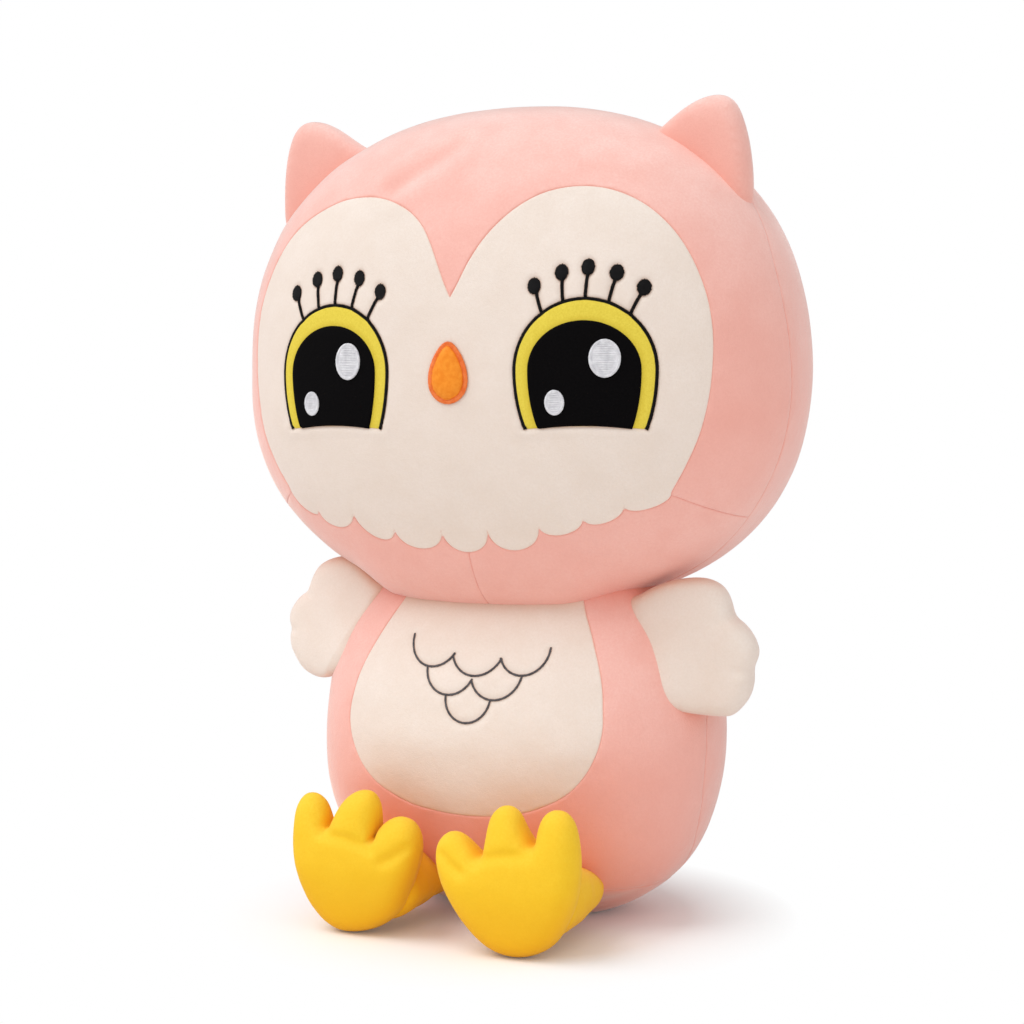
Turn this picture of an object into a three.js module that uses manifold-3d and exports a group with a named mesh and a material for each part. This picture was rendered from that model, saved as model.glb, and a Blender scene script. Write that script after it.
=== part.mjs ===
// A plush owl that sits upright, made as sewn cloth panels over stuffed fillings.
// Lengths are millimetres, angles are degrees, +Z is up, the owl faces -Y and the floor is z = 0.

import * as THREE from 'three';
import { mergeVertices } from 'three/addons/utils/BufferGeometryUtils.js';
import Module from 'manifold-3d';

const wasm = await Module();
wasm.setup();

// Cloth, sewing and clearances
const clothThickness = 2;
const seamGap = 0.3;
const jointGap = 0.5;
const mergeTolerance = 0.0001;
const appliqueThickness = 1.2;
const embroideryThickness = 1;
const overrun = 20;

// Body
const bodyHalfWidth = 101.5;
const bodyFrontDepth = 69;
const bodyBackDepth = 64;
const bodyWidestHeight = 87;
const bodyRise = 106;
const bodyFlatDepth = 4.5;
const bodySeamForward = 9;
const baseSeamHeight = 22;
const bellyHalfWidth = 66;
const bellyBottomHeight = 58;

// Head
const headHalfWidth = 145.6;
const headFrontDepth = 85.3;
const headBackDepth = 86.5;
const headRise = 130.5;
const headDrop = 117.4;
const neckSink = 40;
const headSeamForward = 24;
const chinSeamBelowCentre = 59.5;
const chinSeamSlopeShare = 0.5;
const scallopDepth = 6;

// Head joint
const nodForwardAngle = 6;
const nodBackAngle = 6;
const nodAxisRise = 52;

// Ears
const earHalfThickness = 10;
const earForward = 16;

// Eyes
const eyeSpacing = 131;
const eyeDrop = 1.9;
const eyeHalfWidth = 33;
const eyeRise = 33.2;
const eyeLowerOval = 53;
const eyeCut = 27;
const eyeCutArch = 1.6;
const eyeOutlineWidth = 1.7;
const pupilHalfWidth = 25.8;
const pupilRise = 22.6;
const pupilLowerOval = 48.5;
const largeHighlightAcross = 10.2;
const largeHighlightUp = 5.6;
const largeHighlightHalfWidth = 7.2;
const largeHighlightHalfHeight = 8.9;
const smallHighlightAcross = 13.2;
const smallHighlightDown = 14.8;
const smallHighlightHalfWidth = 4.6;
const smallHighlightHalfHeight = 5.8;
const lashCount = 5;
const lashStepAngle = 16.7;
const lashReach = 46;
const lashWidth = 1.7;
const lashTipRadius = 3.6;

// Beak
const beakHalfWidth = 10.3;
const beakRise = 18.2;
const beakDrop = 10.8;
const beakBelowHeadCentre = 6.2;
const beakBorderWidth = 2.6;
const beakSwell = 3.2;

// Feather embroidery on the belly
const featherRadius = 12;
const featherRowPitch = 10.2;
const featherBelowNeck = 20;
const featherLineWidth = 1.2;
const featherRows = 3;
const featherEndAngle = 32;

// Wings
const wingSpan = 43;
const wingHeight = 65;
const wingHalfThickness = 10;
const wingForward = 22;
const wingBelowNeck = 14;
const wingRootLength = 52;
const wingForwardAngle = 55;
const wingBackAngle = 30;

// Legs and feet
const footGap = 9;
const footForward = 32;
const footHalfWidth = 34.5;
const footHalfThickness = 12;
const palmHeight = 34;
const palmRise = 15;
const footFlatDepth = 0.6;
const toeLength = 37;
const toeHalfWidth = 10.5;
const toeHalfThickness = 9.5;
const legHalfWidth = 21;
const legHalfHeight = 15;
const legHeight = 29;
const hipHalfWidth = 18;
const hipHalfHeight = 3.2;
const hipSink = 10;
const legLiftAngle = 15;
const legDropAngle = 60;
const legFacets = 12;

// Shares that place the head's side seam, and the extra gap that a sloping cloth needs
const seamLeanShare = 0.12;
const seamBowShare = 0.9;
const seamEndShare = 1.1;
const slopeShare = 1.15;

// Shares that shape the padded plates, the beak and the legs, and the least spread at a sharp corner
const pillowRingShares = [0.9, 0.6];
const pillowSwellExponent = 2.6;
const sharpSpreadShare = 0.5;
const beakNarrowingShare = 0.16;
const legRingShares = [0, 0.14, 0.4, 0.7, 0.94];
const legSwellShare = 0.8;
const legPlanExponent = 2.2;

// Sizes that follow from the ones above
const neckHeight = bodyWidestHeight + bodyRise - neckSink;
const headCentreHeight = neckHeight + headDrop;
const fillingInset = clothThickness + seamGap * slopeShare;
const hipHeight = baseSeamHeight;
const footSpacing = 2 * footHalfWidth + footGap;
const footPlane = bodyFrontDepth + footForward;

// Shares that give each form its roundness, and the number of facets
const headForm = {
  halfWidth: headHalfWidth,
  frontDepth: headFrontDepth,
  backDepth: headBackDepth,
  centreHeight: headCentreHeight,
  rise: headRise,
  drop: headDrop,
  planExponent: 2.39,
  riseExponent: 2.3,
  frontRiseExponent: 2.3,
  dropExponent: 2.32,
  around: 24,
  bands: 12,
};

const bodyForm = {
  halfWidth: bodyHalfWidth,
  frontDepth: bodyFrontDepth,
  backDepth: bodyBackDepth,
  centreHeight: bodyWidestHeight,
  rise: bodyRise,
  drop: bodyWidestHeight + bodyFlatDepth,
  planExponent: 2.4,
  riseExponent: 2.4,
  frontRiseExponent: 1.5,
  dropExponent: 2.3,
  around: 20,
  bands: 9,
};

const palmForm = {
  halfWidth: footHalfWidth,
  frontDepth: footHalfThickness,
  backDepth: footHalfThickness,
  centreHeight: palmHeight,
  rise: palmRise,
  drop: palmHeight + footFlatDepth,
  planExponent: 2.1,
  riseExponent: 2.2,
  frontRiseExponent: 2.2,
  dropExponent: 1.85,
  around: 12,
  bands: 6,
};

const toeForm = {
  halfWidth: toeHalfWidth,
  frontDepth: toeHalfThickness,
  backDepth: toeHalfThickness,
  centreHeight: 0,
  rise: toeLength / 2,
  drop: toeLength / 2,
  planExponent: 2,
  riseExponent: 2.9,
  frontRiseExponent: 2.9,
  dropExponent: 2,
  around: 8,
  bands: 5,
};

// Each toe: place across the foot and up the foot, and its lean outwards in degrees
const toeShares = [
  { across: -0.56, up: 1.22, lean: -28, length: 0.92 },
  { across: -0.07, up: 1.52, lean: -1, length: 1 },
  { across: 0.66, up: 1.52, lean: 3, length: 1 },
];

// Heart-shaped upper edge of the face, from the middle notch to the lower corner,
// as shares of the head's half width and of its rise or drop from the centre
const faceEdgeShares = [
  [0.0, 0.25],
  [0.052, 0.352],
  [0.097, 0.446],
  [0.165, 0.525],
  [0.233, 0.59],
  [0.315, 0.627],
  [0.405, 0.638],
  [0.51, 0.622],
  [0.606, 0.568],
  [0.692, 0.474],
  [0.757, 0.365],
  [0.801, 0.248],
  [0.822, 0.128],
  [0.822, -0.003],
  [0.807, -0.147],
  [0.776, -0.293],
  [0.733, -0.409],
  [0.694, -0.483],
];

// Points between the scallops of the lower edge of the face, from the corner to the middle
const faceCuspShares = [
  [0.694, -0.483],
  [0.548, -0.56],
  [0.418, -0.612],
  [0.266, -0.655],
  [0.085, -0.68],
];

// Outline of an ear, from inside the head over the tip and back into the head
const earShares = [
  [0.4, 0.8],
  [0.54, 0.887],
  [0.645, 0.947],
  [0.735, 0.993],
  [0.775, 0.995],
  [0.803, 0.965],
  [0.832, 0.86],
  [0.862, 0.72],
  [0.888, 0.572],
  [0.8, 0.44],
  [0.6, 0.55],
];

// Outline of a wing, as shares of its span from the root and of its height from the middle
const wingShares = [
  [-0.08, 0.41],
  [0.08, 0.48],
  [0.32, 0.505],
  [0.5, 0.49],
  [0.66, 0.41],
  [0.74, 0.23],
  [0.9, 0.15],
  [1.0, 0.01],
  [0.95, -0.16],
  [0.96, -0.24],
  [0.91, -0.37],
  [0.75, -0.48],
  [0.58, -0.505],
  [0.28, -0.49],
  [0.02, -0.46],
  [-0.08, -0.41],
  [-0.1, 0.0],
];

// Belly outline, as shares of its half width and of its height from the bottom to the neck
const bellyShares = [
  [0.0, 0.0],
  [0.35, 0.02],
  [0.62, 0.1],
  [0.85, 0.27],
  [0.985, 0.47],
  [1.0, 0.62],
  [0.94, 0.82],
  [0.83, 1.0],
  [0.7, 1.2],
  [0.6, 1.5],
];

// Names and colours of the cloths and threads
const clothColours = {
  pink: 0xf2b7ab,
  cream: 0xe9dbce,
  yellow: 0xf5cc40,
  iris: 0xe3ca45,
  black: 0x0c0a0b,
  orange: 0xf28e2a,
  salmon: 0xee945b,
  white: 0xe6e4e2,
  grey: 0x65656b,
  stuffing: 0xf4f2ee,
};

// Helpers for geometry and solids

function signedPower(value, exponent) {
  return Math.sign(value) * Math.abs(value) ** exponent;
}

function radians(degrees) {
  return THREE.MathUtils.degToRad(degrees);
}

/** Closed three.js geometry as a solid for joining and cutting. */
function toSolid(geometry) {
  const bare = geometry.clone();
  bare.deleteAttribute('normal');
  bare.deleteAttribute('uv');
  const merged = mergeVertices(bare, mergeTolerance);
  const corners = merged.index.array;
  const kept = [];
  for (let first = 0; first < corners.length; first += 3) {
    const [a, b, c] = [corners[first], corners[first + 1], corners[first + 2]];
    if (a !== b && b !== c && c !== a) kept.push(a, b, c);
  }
  return new wasm.Manifold(new wasm.Mesh({
    numProp: 3,
    vertProperties: new Float32Array(merged.attributes.position.array),
    triVerts: new Uint32Array(kept),
  }));
}

/** Solid back to a three.js geometry. */
function toGeometry(solid) {
  const mesh = solid.getMesh();
  const geometry = new THREE.BufferGeometry();
  geometry.setAttribute('position', new THREE.BufferAttribute(mesh.vertProperties, mesh.numProp));
  geometry.setIndex(new THREE.BufferAttribute(mesh.triVerts, 1));
  return geometry;
}

function joined(solids) {
  return solids.reduce((whole, solid) => whole.add(solid));
}

/** Box between two corners. */
function blockSolid(low, high) {
  const size = high.clone().sub(low);
  const box = new THREE.BoxGeometry(size.x, size.y, size.z);
  const middle = low.clone().add(high).multiplyScalar(0.5);
  return toSolid(box.translate(middle.x, middle.y, middle.z));
}

const reach = headHalfWidth + headCentreHeight + headRise + overrun;

/** Half of space, cut at a place on one axis and kept on the side that the sign gives. */
function halfSpace(axis, place, sign) {
  const low = new THREE.Vector3(-reach, -reach, -reach);
  const high = new THREE.Vector3(reach, reach, reach);
  if (sign > 0) low[axis] = place;
  else high[axis] = place;
  return blockSolid(low, high);
}

/** Outline in the X-Z plane pushed through to a prism between two places along Y. */
function prismSolid(outline, nearY, farY) {
  const shape = new THREE.Shape(outline.map((point) => new THREE.Vector2(point.x, point.y)));
  const prism = new THREE.ExtrudeGeometry(shape, { depth: farY - nearY, bevelEnabled: false });
  return toSolid(prism.rotateX(Math.PI / 2).translate(0, farY, 0));
}

/** Prism that reaches from the mid-plane of the owl past its front. */
function frontPrism(outline) {
  return prismSolid(outline, -(headFrontDepth + overrun), 0);
}

/** Closed outline moved outwards by a distance, or inwards where it is negative. */
function offsetOutline(outline, distance) {
  const turn = Math.sign(THREE.ShapeUtils.area(outline));
  return outline.map((point, index) => {
    const before = outline[(index + outline.length - 1) % outline.length];
    const after = outline[(index + 1) % outline.length];
    const first = point.clone().sub(before).normalize();
    const second = after.clone().sub(point).normalize();
    const normalA = new THREE.Vector2(first.y, -first.x).multiplyScalar(turn);
    const normalB = new THREE.Vector2(second.y, -second.x).multiplyScalar(turn);
    const spread = Math.max(1 + normalA.dot(normalB), sharpSpreadShare);
    return point.clone().addScaledVector(normalA.add(normalB), distance / spread);
  });
}

/** Outline mirrored to the other side of the owl. */
function mirrored(outline) {
  return outline.map((point) => new THREE.Vector2(-point.x, point.y)).reverse();
}

/** Smooth curve through points, closed or open. */
function smoothLine(points, closed, count) {
  const curve = new THREE.CatmullRomCurve3(
    points.map((point) => new THREE.Vector3(point.x, point.y, 0)), closed, 'centripetal');
  const line = curve.getPoints(count).map((point) => new THREE.Vector2(point.x, point.y));
  return closed ? line.slice(0, -1) : line;
}

// Stuffed forms: rings of cloth from a bottom point to a top point

/** Rings of a rounded form, with a flat floor where its drop reaches below zero. */
function ovalProfile(form) {
  const floorShare = Math.min(form.centreHeight / form.drop, 1);
  const hasFloor = form.centreHeight > 0 && floorShare < 1;
  const start = hasFloor ? -Math.asin(floorShare ** (form.dropExponent / 2)) : -Math.PI / 2;
  const rings = hasFloor ? [{ width: 0, front: 0, back: 0, height: 0 }] : [];
  for (let band = 0; band <= form.bands; band += 1) {
    const lift = start + (Math.PI / 2 - start) * (band / form.bands);
    const atPole = band === form.bands || (band === 0 && !hasFloor);
    const exponent = lift > 0 ? form.riseExponent : form.dropExponent;
    const climb = atPole ? Math.sign(lift) : signedPower(Math.sin(lift), 2 / exponent);
    const side = atPole ? 0 : Math.cos(lift) ** (2 / exponent);
    const ahead = lift > 0 ? (1 - climb ** form.frontRiseExponent) ** (1 / form.frontRiseExponent) : side;
    rings.push({
      width: form.halfWidth * side,
      front: form.frontDepth * ahead,
      back: form.backDepth * side,
      height: form.centreHeight + climb * (lift > 0 ? form.rise : form.drop),
    });
  }
  if (hasFloor) rings[1].height = 0;
  return rings;
}

/** Profile moved inwards by a thickness, square to its own slope. */
function insetProfile(profile, inset) {
  const slope = (from, to) => {
    const out = (to.width + to.front - from.width - from.front) / 2;
    return new THREE.Vector2(to.height - from.height, -out).normalize();
  };
  return profile.map((ring, index) => {
    const last = profile.length - 1;
    if (index === 0) return { ...ring, height: ring.height + inset };
    if (index === last) return { ...ring, height: ring.height - inset };
    const below = slope(profile[index - 1], ring);
    const above = slope(ring, profile[index + 1]);
    const push = inset / (1 + below.dot(above));
    const inwards = (below.x + above.x) * push;
    const shrink = (size) => Math.max(size - inwards, seamGap);
    return {
      width: shrink(ring.width),
      front: shrink(ring.front),
      back: shrink(ring.back),
      height: ring.height - (below.y + above.y) * push,
    };
  });
}

/** Closed skin through the rings of a profile. */
function ringGeometry(profile, planExponent, around) {
  const line = profile.map((ring) => new THREE.Vector2(ring.width, ring.height));
  const lathe = new THREE.LatheGeometry(line, around);
  const position = lathe.attributes.position;
  for (let index = 0; index < position.count; index += 1) {
    const ring = profile[index % profile.length];
    const turn = (Math.floor(index / profile.length) / around) * Math.PI * 2;
    const side = signedPower(Math.sin(turn), 2 / planExponent);
    const ahead = signedPower(Math.cos(turn), 2 / planExponent);
    const depth = ahead > 0 ? ring.front : ring.back;
    position.setXYZ(index, ring.width * side, -depth * ahead, ring.height);
  }
  return lathe;
}

/** Geometry of a rounded form whose surface lies an inset inside its sewn size. */
function formGeometry(form, inset) {
  return ringGeometry(insetProfile(ovalProfile(form), inset), form.planExponent, form.around);
}

function formSolid(form, inset) {
  return toSolid(formGeometry(form, inset));
}

/** Layer of cloth between two insets of a form. */
function layerSolid(form, outerInset, innerInset) {
  return formSolid(form, outerInset).subtract(formSolid(form, innerInset));
}

/** Padded plate: an outline in X-Z that swells to a half thickness on both sides of its plane. */
function pillowGeometry(outline, halfThickness, planeY, inset) {
  const rim = offsetOutline(outline, -inset);
  const centre = rim.reduce((sum, point) => sum.add(point), new THREE.Vector2()).divideScalar(rim.length);
  const swell = (share) => (halfThickness - inset) * Math.sqrt(1 - share ** pillowSwellExponent);
  const places = [];
  const triangles = [];
  const addRing = (share, side) => {
    const start = places.length / 3;
    rim.forEach((point) => {
      const spot = centre.clone().lerp(point, share);
      places.push(spot.x, planeY + side * swell(share), spot.y);
    });
    return start;
  };
  const bridge = (from, to, side) => {
    for (let index = 0; index < rim.length; index += 1) {
      const next = (index + 1) % rim.length;
      const quad = [from + index, from + next, to + next, from + index, to + next, to + index];
      triangles.push(...(side > 0 ? quad.reverse() : quad));
    }
  };
  const edge = addRing(1, 0);
  for (const side of [-1, 1]) {
    let previous = edge;
    for (const share of pillowRingShares) {
      const ring = addRing(share, side);
      bridge(previous, ring, side);
      previous = ring;
    }
    const hub = places.length / 3;
    places.push(centre.x, planeY + side * swell(0), centre.y);
    for (let index = 0; index < rim.length; index += 1) {
      const next = (index + 1) % rim.length;
      const fan = [previous + index, previous + next, hub];
      triangles.push(...(side > 0 ? fan.reverse() : fan));
    }
  }
  const geometry = new THREE.BufferGeometry();
  geometry.setAttribute('position', new THREE.Float32BufferAttribute(places, 3));
  geometry.setIndex(THREE.ShapeUtils.area(rim) > 0 ? triangles : triangles.reverse());
  return geometry;
}

/** Turn about an axis through a point, as a matrix. */
function turnAbout(point, axis, degrees) {
  const home = new THREE.Matrix4().makeTranslation(point.x, point.y, point.z);
  const turn = new THREE.Matrix4().makeRotationAxis(axis.clone().normalize(), radians(degrees));
  const away = new THREE.Matrix4().makeTranslation(-point.x, -point.y, -point.z);
  return home.multiply(turn).multiply(away);
}

/** All of the space that a geometry takes as it turns through a list of angles. */
function sweptSolid(geometry, joint, angles) {
  return joined(angles.map((angle) => toSolid(
    geometry.clone().applyMatrix4(turnAbout(joint.point, joint.axis, angle)))));
}

function sweepAngles(low, high, steps) {
  return Array.from({ length: steps + 1 }, (_, step) => low + ((high - low) * step) / steps);
}

/** Height share of a form above or below its widest ring. */
function bodyRingAt(height) {
  const above = height > bodyForm.centreHeight;
  const reachFrom = above ? bodyForm.rise : bodyForm.drop;
  const climb = Math.min(Math.abs(height - bodyForm.centreHeight) / reachFrom, 1);
  const sideExponent = above ? bodyForm.riseExponent : bodyForm.dropExponent;
  const frontExponent = above ? bodyForm.frontRiseExponent : bodyForm.dropExponent;
  return {
    width: bodyForm.halfWidth * (1 - climb ** sideExponent) ** (1 / sideExponent),
    front: bodyForm.frontDepth * (1 - climb ** frontExponent) ** (1 / frontExponent),
  };
}

/** Half width of the body at a height, a distance forward of its middle. */
function bodySideAt(height, forward) {
  const ring = bodyRingAt(height);
  const plan = bodyForm.planExponent;
  return ring.width * (1 - Math.min(forward / ring.front, 1) ** plan) ** (1 / plan);
}

/** How far forward the body's front lies at a height and a distance across. */
function bodyFrontAt(height, across) {
  const ring = bodyRingAt(height);
  const plan = bodyForm.planExponent;
  return ring.front * (1 - Math.min(across / ring.width, 1) ** plan) ** (1 / plan);
}

// The finished pieces

const owl = new THREE.Group();

function addPiece(name, solid, colour, roughness = 0.95) {
  const material = new THREE.MeshStandardMaterial({
    color: clothColours[colour],
    roughness,
    metalness: 0,
    flatShading: true,
  });
  const mesh = new THREE.Mesh(toGeometry(solid), material);
  mesh.name = name;
  owl.add(mesh);
}

const sides = [
  { name: 'left', sign: 1 },
  { name: 'right', sign: -1 },
];

/** Outline on the owl's left, turned over for its right side. */
function onSide(outline, side) {
  return side.sign > 0 ? outline : mirrored(outline);
}

// Joints: the head nods about an axis across the owl, above the neck seam

const headJoint = {
  point: new THREE.Vector3(0, 0, neckHeight + nodAxisRise),
  axis: new THREE.Vector3(1, 0, 0),
};

function wingJoint(side) {
  const middle = neckHeight - wingBelowNeck;
  const high = middle + wingRootLength / 2;
  const low = middle - wingRootLength / 2;
  const top = new THREE.Vector3(side.sign * bodySideAt(high, wingForward), -wingForward, high);
  const bottom = new THREE.Vector3(side.sign * bodySideAt(low, wingForward), -wingForward, low);
  return {
    point: top.clone().add(bottom).multiplyScalar(0.5),
    axis: top.sub(bottom).multiplyScalar(side.sign).normalize(),
  };
}

function hipJoint(side) {
  const middle = footSpacing / 2;
  const inner = middle - hipHalfWidth;
  const outer = middle + hipHalfWidth;
  const from = new THREE.Vector3(side.sign * inner, -bodyFrontAt(hipHeight, inner), hipHeight);
  const to = new THREE.Vector3(side.sign * outer, -bodyFrontAt(hipHeight, outer), hipHeight);
  return {
    point: from.clone().add(to).multiplyScalar(0.5),
    axis: to.sub(from).multiplyScalar(side.sign).normalize(),
  };
}

// Face outline and the seams of the head

function facePoint([across, up]) {
  const height = headCentreHeight + up * (up > 0 ? headRise : headDrop);
  return new THREE.Vector2(across * headHalfWidth, height);
}

/** Row of hanging scallops between two lists of neighbouring cusps. */
function scallopLine(cusps) {
  return cusps.slice(1).flatMap((cusp, index) => {
    const from = cusps[index];
    const middle = from.clone().add(cusp).multiplyScalar(0.5);
    const run = cusp.clone().sub(from);
    const hang = new THREE.Vector2(run.y, -run.x).normalize().multiplyScalar(2 * scallopDepth);
    const down = hang.y < 0 ? hang : hang.negate();
    const curve = new THREE.QuadraticBezierCurve(from, middle.add(down), cusp);
    return curve.getPoints(5).slice(1);
  });
}

function faceOutline() {
  const upper = smoothLine(faceEdgeShares.map(facePoint), false, 14);
  const rightCusps = faceCuspShares.map(facePoint);
  const lowest = rightCusps[rightCusps.length - 1];
  const lower = scallopLine([...rightCusps, new THREE.Vector2(-lowest.x, lowest.y)]);
  const half = [...upper, ...lower.slice(0, -5)];
  const centre = lower.slice(-5);
  const other = half.slice(1).map((point) => new THREE.Vector2(-point.x, point.y)).reverse();
  return [...half, ...centre.slice(0, -1), ...other];
}

/** Region in front of the head's side seam, which bows forward between the crown and the chin. */
function frontOfHeadSeam(shift) {
  const seam = [];
  const steps = 12;
  for (let step = 0; step <= steps; step += 1) {
    const share = (step / steps) * 2 - 1;
    const bow = Math.cos((share - seamLeanShare) * (Math.PI / 2) * seamBowShare);
    const height = headCentreHeight + share * (share > 0 ? headRise : headDrop) * seamEndShare;
    seam.push(new THREE.Vector2(-headSeamForward * bow + shift, height));
  }
  const far = -(headFrontDepth + overrun);
  const outline = [
    ...seam,
    new THREE.Vector2(far, seam[steps].y),
    new THREE.Vector2(far, seam[0].y),
  ];
  const shape = new THREE.Shape(outline);
  const prism = new THREE.ExtrudeGeometry(shape, { depth: 2 * reach, bevelEnabled: false });
  const basis = new THREE.Matrix4().makeBasis(
    new THREE.Vector3(0, 1, 0), new THREE.Vector3(0, 0, 1), new THREE.Vector3(1, 0, 0));
  return toSolid(prism.applyMatrix4(basis).translate(-reach, 0, 0));
}

/** Region below the chin seam, which falls from the corners of the face towards the side seam. */
function belowChinSeam(shift) {
  const corner = faceCuspShares[0][0] * headHalfWidth;
  const level = headCentreHeight - chinSeamBelowCentre + shift;
  const end = level - chinSeamSlopeShare * (reach - corner);
  return prismSolid([
    new THREE.Vector2(-reach, -reach),
    new THREE.Vector2(reach, -reach),
    new THREE.Vector2(reach, end),
    new THREE.Vector2(corner, level),
    new THREE.Vector2(-corner, level),
    new THREE.Vector2(-reach, end),
  ], -reach, reach);
}

function buildHead() {
  const skin = layerSolid(headForm, 0, clothThickness);
  const front = skin.intersect(frontOfHeadSeam(-seamGap / 2));
  const back = skin.subtract(frontOfHeadSeam(seamGap / 2));
  const outline = faceOutline();
  const aroundFace = front.subtract(frontPrism(offsetOutline(outline, seamGap)));
  const chin = aroundFace.intersect(belowChinSeam(-seamGap / 2));
  addPiece('head_filling', formSolid(headForm, fillingInset), 'stuffing');
  addPiece('face_panel', front.intersect(frontPrism(outline)), 'cream');
  addPiece('head_front_panel', aroundFace.subtract(belowChinSeam(seamGap / 2)), 'pink');
  for (const side of sides) {
    const half = halfSpace('x', side.sign * (seamGap / 2), side.sign);
    addPiece(`chin_panel_${side.name}`, chin.intersect(half), 'pink');
    addPiece(`head_back_panel_${side.name}`, back.intersect(half), 'pink');
  }
}

function buildEars() {
  const headSpace = formSolid(headForm, -seamGap);
  for (const side of sides) {
    const outline = onSide(smoothLine(earShares.map(facePoint), true, 16), side);
    const padded = (inset) => toSolid(pillowGeometry(outline, earHalfThickness, -earForward, inset));
    const skin = padded(0).subtract(padded(clothThickness)).subtract(headSpace);
    const frontHalf = halfSpace('y', -earForward - seamGap / 2, -1);
    const backHalf = halfSpace('y', -earForward + seamGap / 2, 1);
    addPiece(`ear_${side.name}_front_panel`, skin.intersect(frontHalf), 'pink');
    addPiece(`ear_${side.name}_back_panel`, skin.intersect(backHalf), 'pink');
    addPiece(`ear_${side.name}_filling`, padded(fillingInset).subtract(headSpace), 'stuffing');
  }
}

// Eyes, which lie on the face as thin applique and embroidery

/** Upright oval with its own lower half height, shrunk by an inset and cut off below by a shallow arch. */
function eyeOutline(centre, oval, inset) {
  const points = [];
  const halfWidth = oval.halfWidth - inset;
  const lowerOval = oval.lowerOval - inset;
  const corner = Math.asin(Math.min(eyeCut / lowerOval, 1));
  const steps = 12;
  for (let step = 0; step <= steps; step += 1) {
    const angle = -corner + ((Math.PI + 2 * corner) * step) / steps;
    const height = Math.sin(angle) > 0 ? oval.rise - inset : lowerOval;
    points.push(new THREE.Vector2(
      centre.x + halfWidth * Math.cos(angle), centre.y + height * Math.sin(angle)));
  }
  const left = points[steps];
  const right = points[0];
  const arch = new THREE.QuadraticBezierCurve(
    left, new THREE.Vector2(centre.x, left.y + 2 * eyeCutArch), right);
  return [...points, ...arch.getPoints(4).slice(1, -1)];
}

function ovalOutline(centre, halfWidth, halfHeight, count) {
  return Array.from({ length: count }, (_, index) => {
    const angle = (index / count) * Math.PI * 2;
    return new THREE.Vector2(
      centre.x + halfWidth * Math.cos(angle), centre.y + halfHeight * Math.sin(angle));
  });
}

/** Straight strip between two points. */
function stripOutline(from, to, width) {
  const along = to.clone().sub(from).normalize();
  const across = new THREE.Vector2(-along.y, along.x).multiplyScalar(width / 2);
  return [
    from.clone().sub(across),
    to.clone().sub(across),
    to.clone().add(across),
    from.clone().add(across),
  ];
}

/** Outline ring of an eye with its lashes and their round tips. */
function lashPrisms(centre) {
  return Array.from({ length: lashCount }, (_, index) => {
    const angle = Math.PI / 2 + radians((index - (lashCount - 1) / 2) * lashStepAngle);
    const ray = new THREE.Vector2(Math.cos(angle), Math.sin(angle));
    const root = centre.clone().addScaledVector(ray, eyeRise - eyeOutlineWidth / 2);
    const tip = centre.clone().addScaledVector(ray, lashReach);
    const stem = frontPrism(stripOutline(root, tip, lashWidth));
    return stem.add(frontPrism(ovalOutline(tip, lashTipRadius, lashTipRadius, 6)));
  });
}

function buildEyes() {
  const eyeOval = { halfWidth: eyeHalfWidth, rise: eyeRise, lowerOval: eyeLowerOval };
  const pupilOval = { halfWidth: pupilHalfWidth, rise: pupilRise, lowerOval: pupilLowerOval };
  const clothBase = seamGap;
  const clothTop = clothBase + appliqueThickness;
  const pupilBase = clothTop + seamGap;
  const pupilTop = pupilBase + appliqueThickness;
  const lightBase = pupilTop + seamGap;
  const ground = layerSolid(headForm, -clothTop, -clothBase);
  const raised = layerSolid(headForm, -pupilTop, -pupilBase);
  const thread = layerSolid(headForm, -(clothBase + appliqueThickness + embroideryThickness), -clothBase);
  const light = layerSolid(headForm, -(lightBase + embroideryThickness), -lightBase);
  for (const side of sides) {
    const centre = new THREE.Vector2(side.sign * (eyeSpacing / 2), headCentreHeight - eyeDrop);
    const whole = frontPrism(eyeOutline(centre, eyeOval, 0));
    const iris = frontPrism(eyeOutline(centre, eyeOval, eyeOutlineWidth + seamGap));
    const pupil = frontPrism(eyeOutline(centre, pupilOval, 0)).intersect(iris);
    const rim = whole.subtract(frontPrism(eyeOutline(centre, eyeOval, eyeOutlineWidth)));
    addPiece(`eye_${side.name}_iris`, ground.intersect(iris), 'iris');
    addPiece(`eye_${side.name}_pupil`, raised.intersect(pupil), 'black');
    addPiece(`eye_${side.name}_outline`, thread.intersect(joined([rim, ...lashPrisms(centre)])), 'black', 0.6);
    const largeCentre = new THREE.Vector2(centre.x + largeHighlightAcross, centre.y + largeHighlightUp);
    const smallCentre = new THREE.Vector2(centre.x - smallHighlightAcross, centre.y - smallHighlightDown);
    const large = ovalOutline(largeCentre, largeHighlightHalfWidth, largeHighlightHalfHeight, 14);
    const small = ovalOutline(smallCentre, smallHighlightHalfWidth, smallHighlightHalfHeight, 12);
    addPiece(`eye_${side.name}_highlight_large`, light.intersect(frontPrism(large)), 'white', 0.5);
    addPiece(`eye_${side.name}_highlight_small`, light.intersect(frontPrism(small)), 'white', 0.5);
  }
}

/** Egg-shaped outline of the beak, shrunk by an inset. */
function beakOutline(inset) {
  const centre = new THREE.Vector2(0, headCentreHeight - beakBelowHeadCentre);
  const count = 16;
  return Array.from({ length: count }, (_, index) => {
    const angle = (index / count) * Math.PI * 2;
    const up = Math.sin(angle);
    const height = up > 0 ? beakRise - inset : beakDrop - inset;
    const narrowing = up > 0 ? 1 - beakNarrowingShare * up * up : 1;
    return new THREE.Vector2(
      centre.x + (beakHalfWidth - inset) * Math.cos(angle) * narrowing, centre.y + height * up);
  });
}

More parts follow.
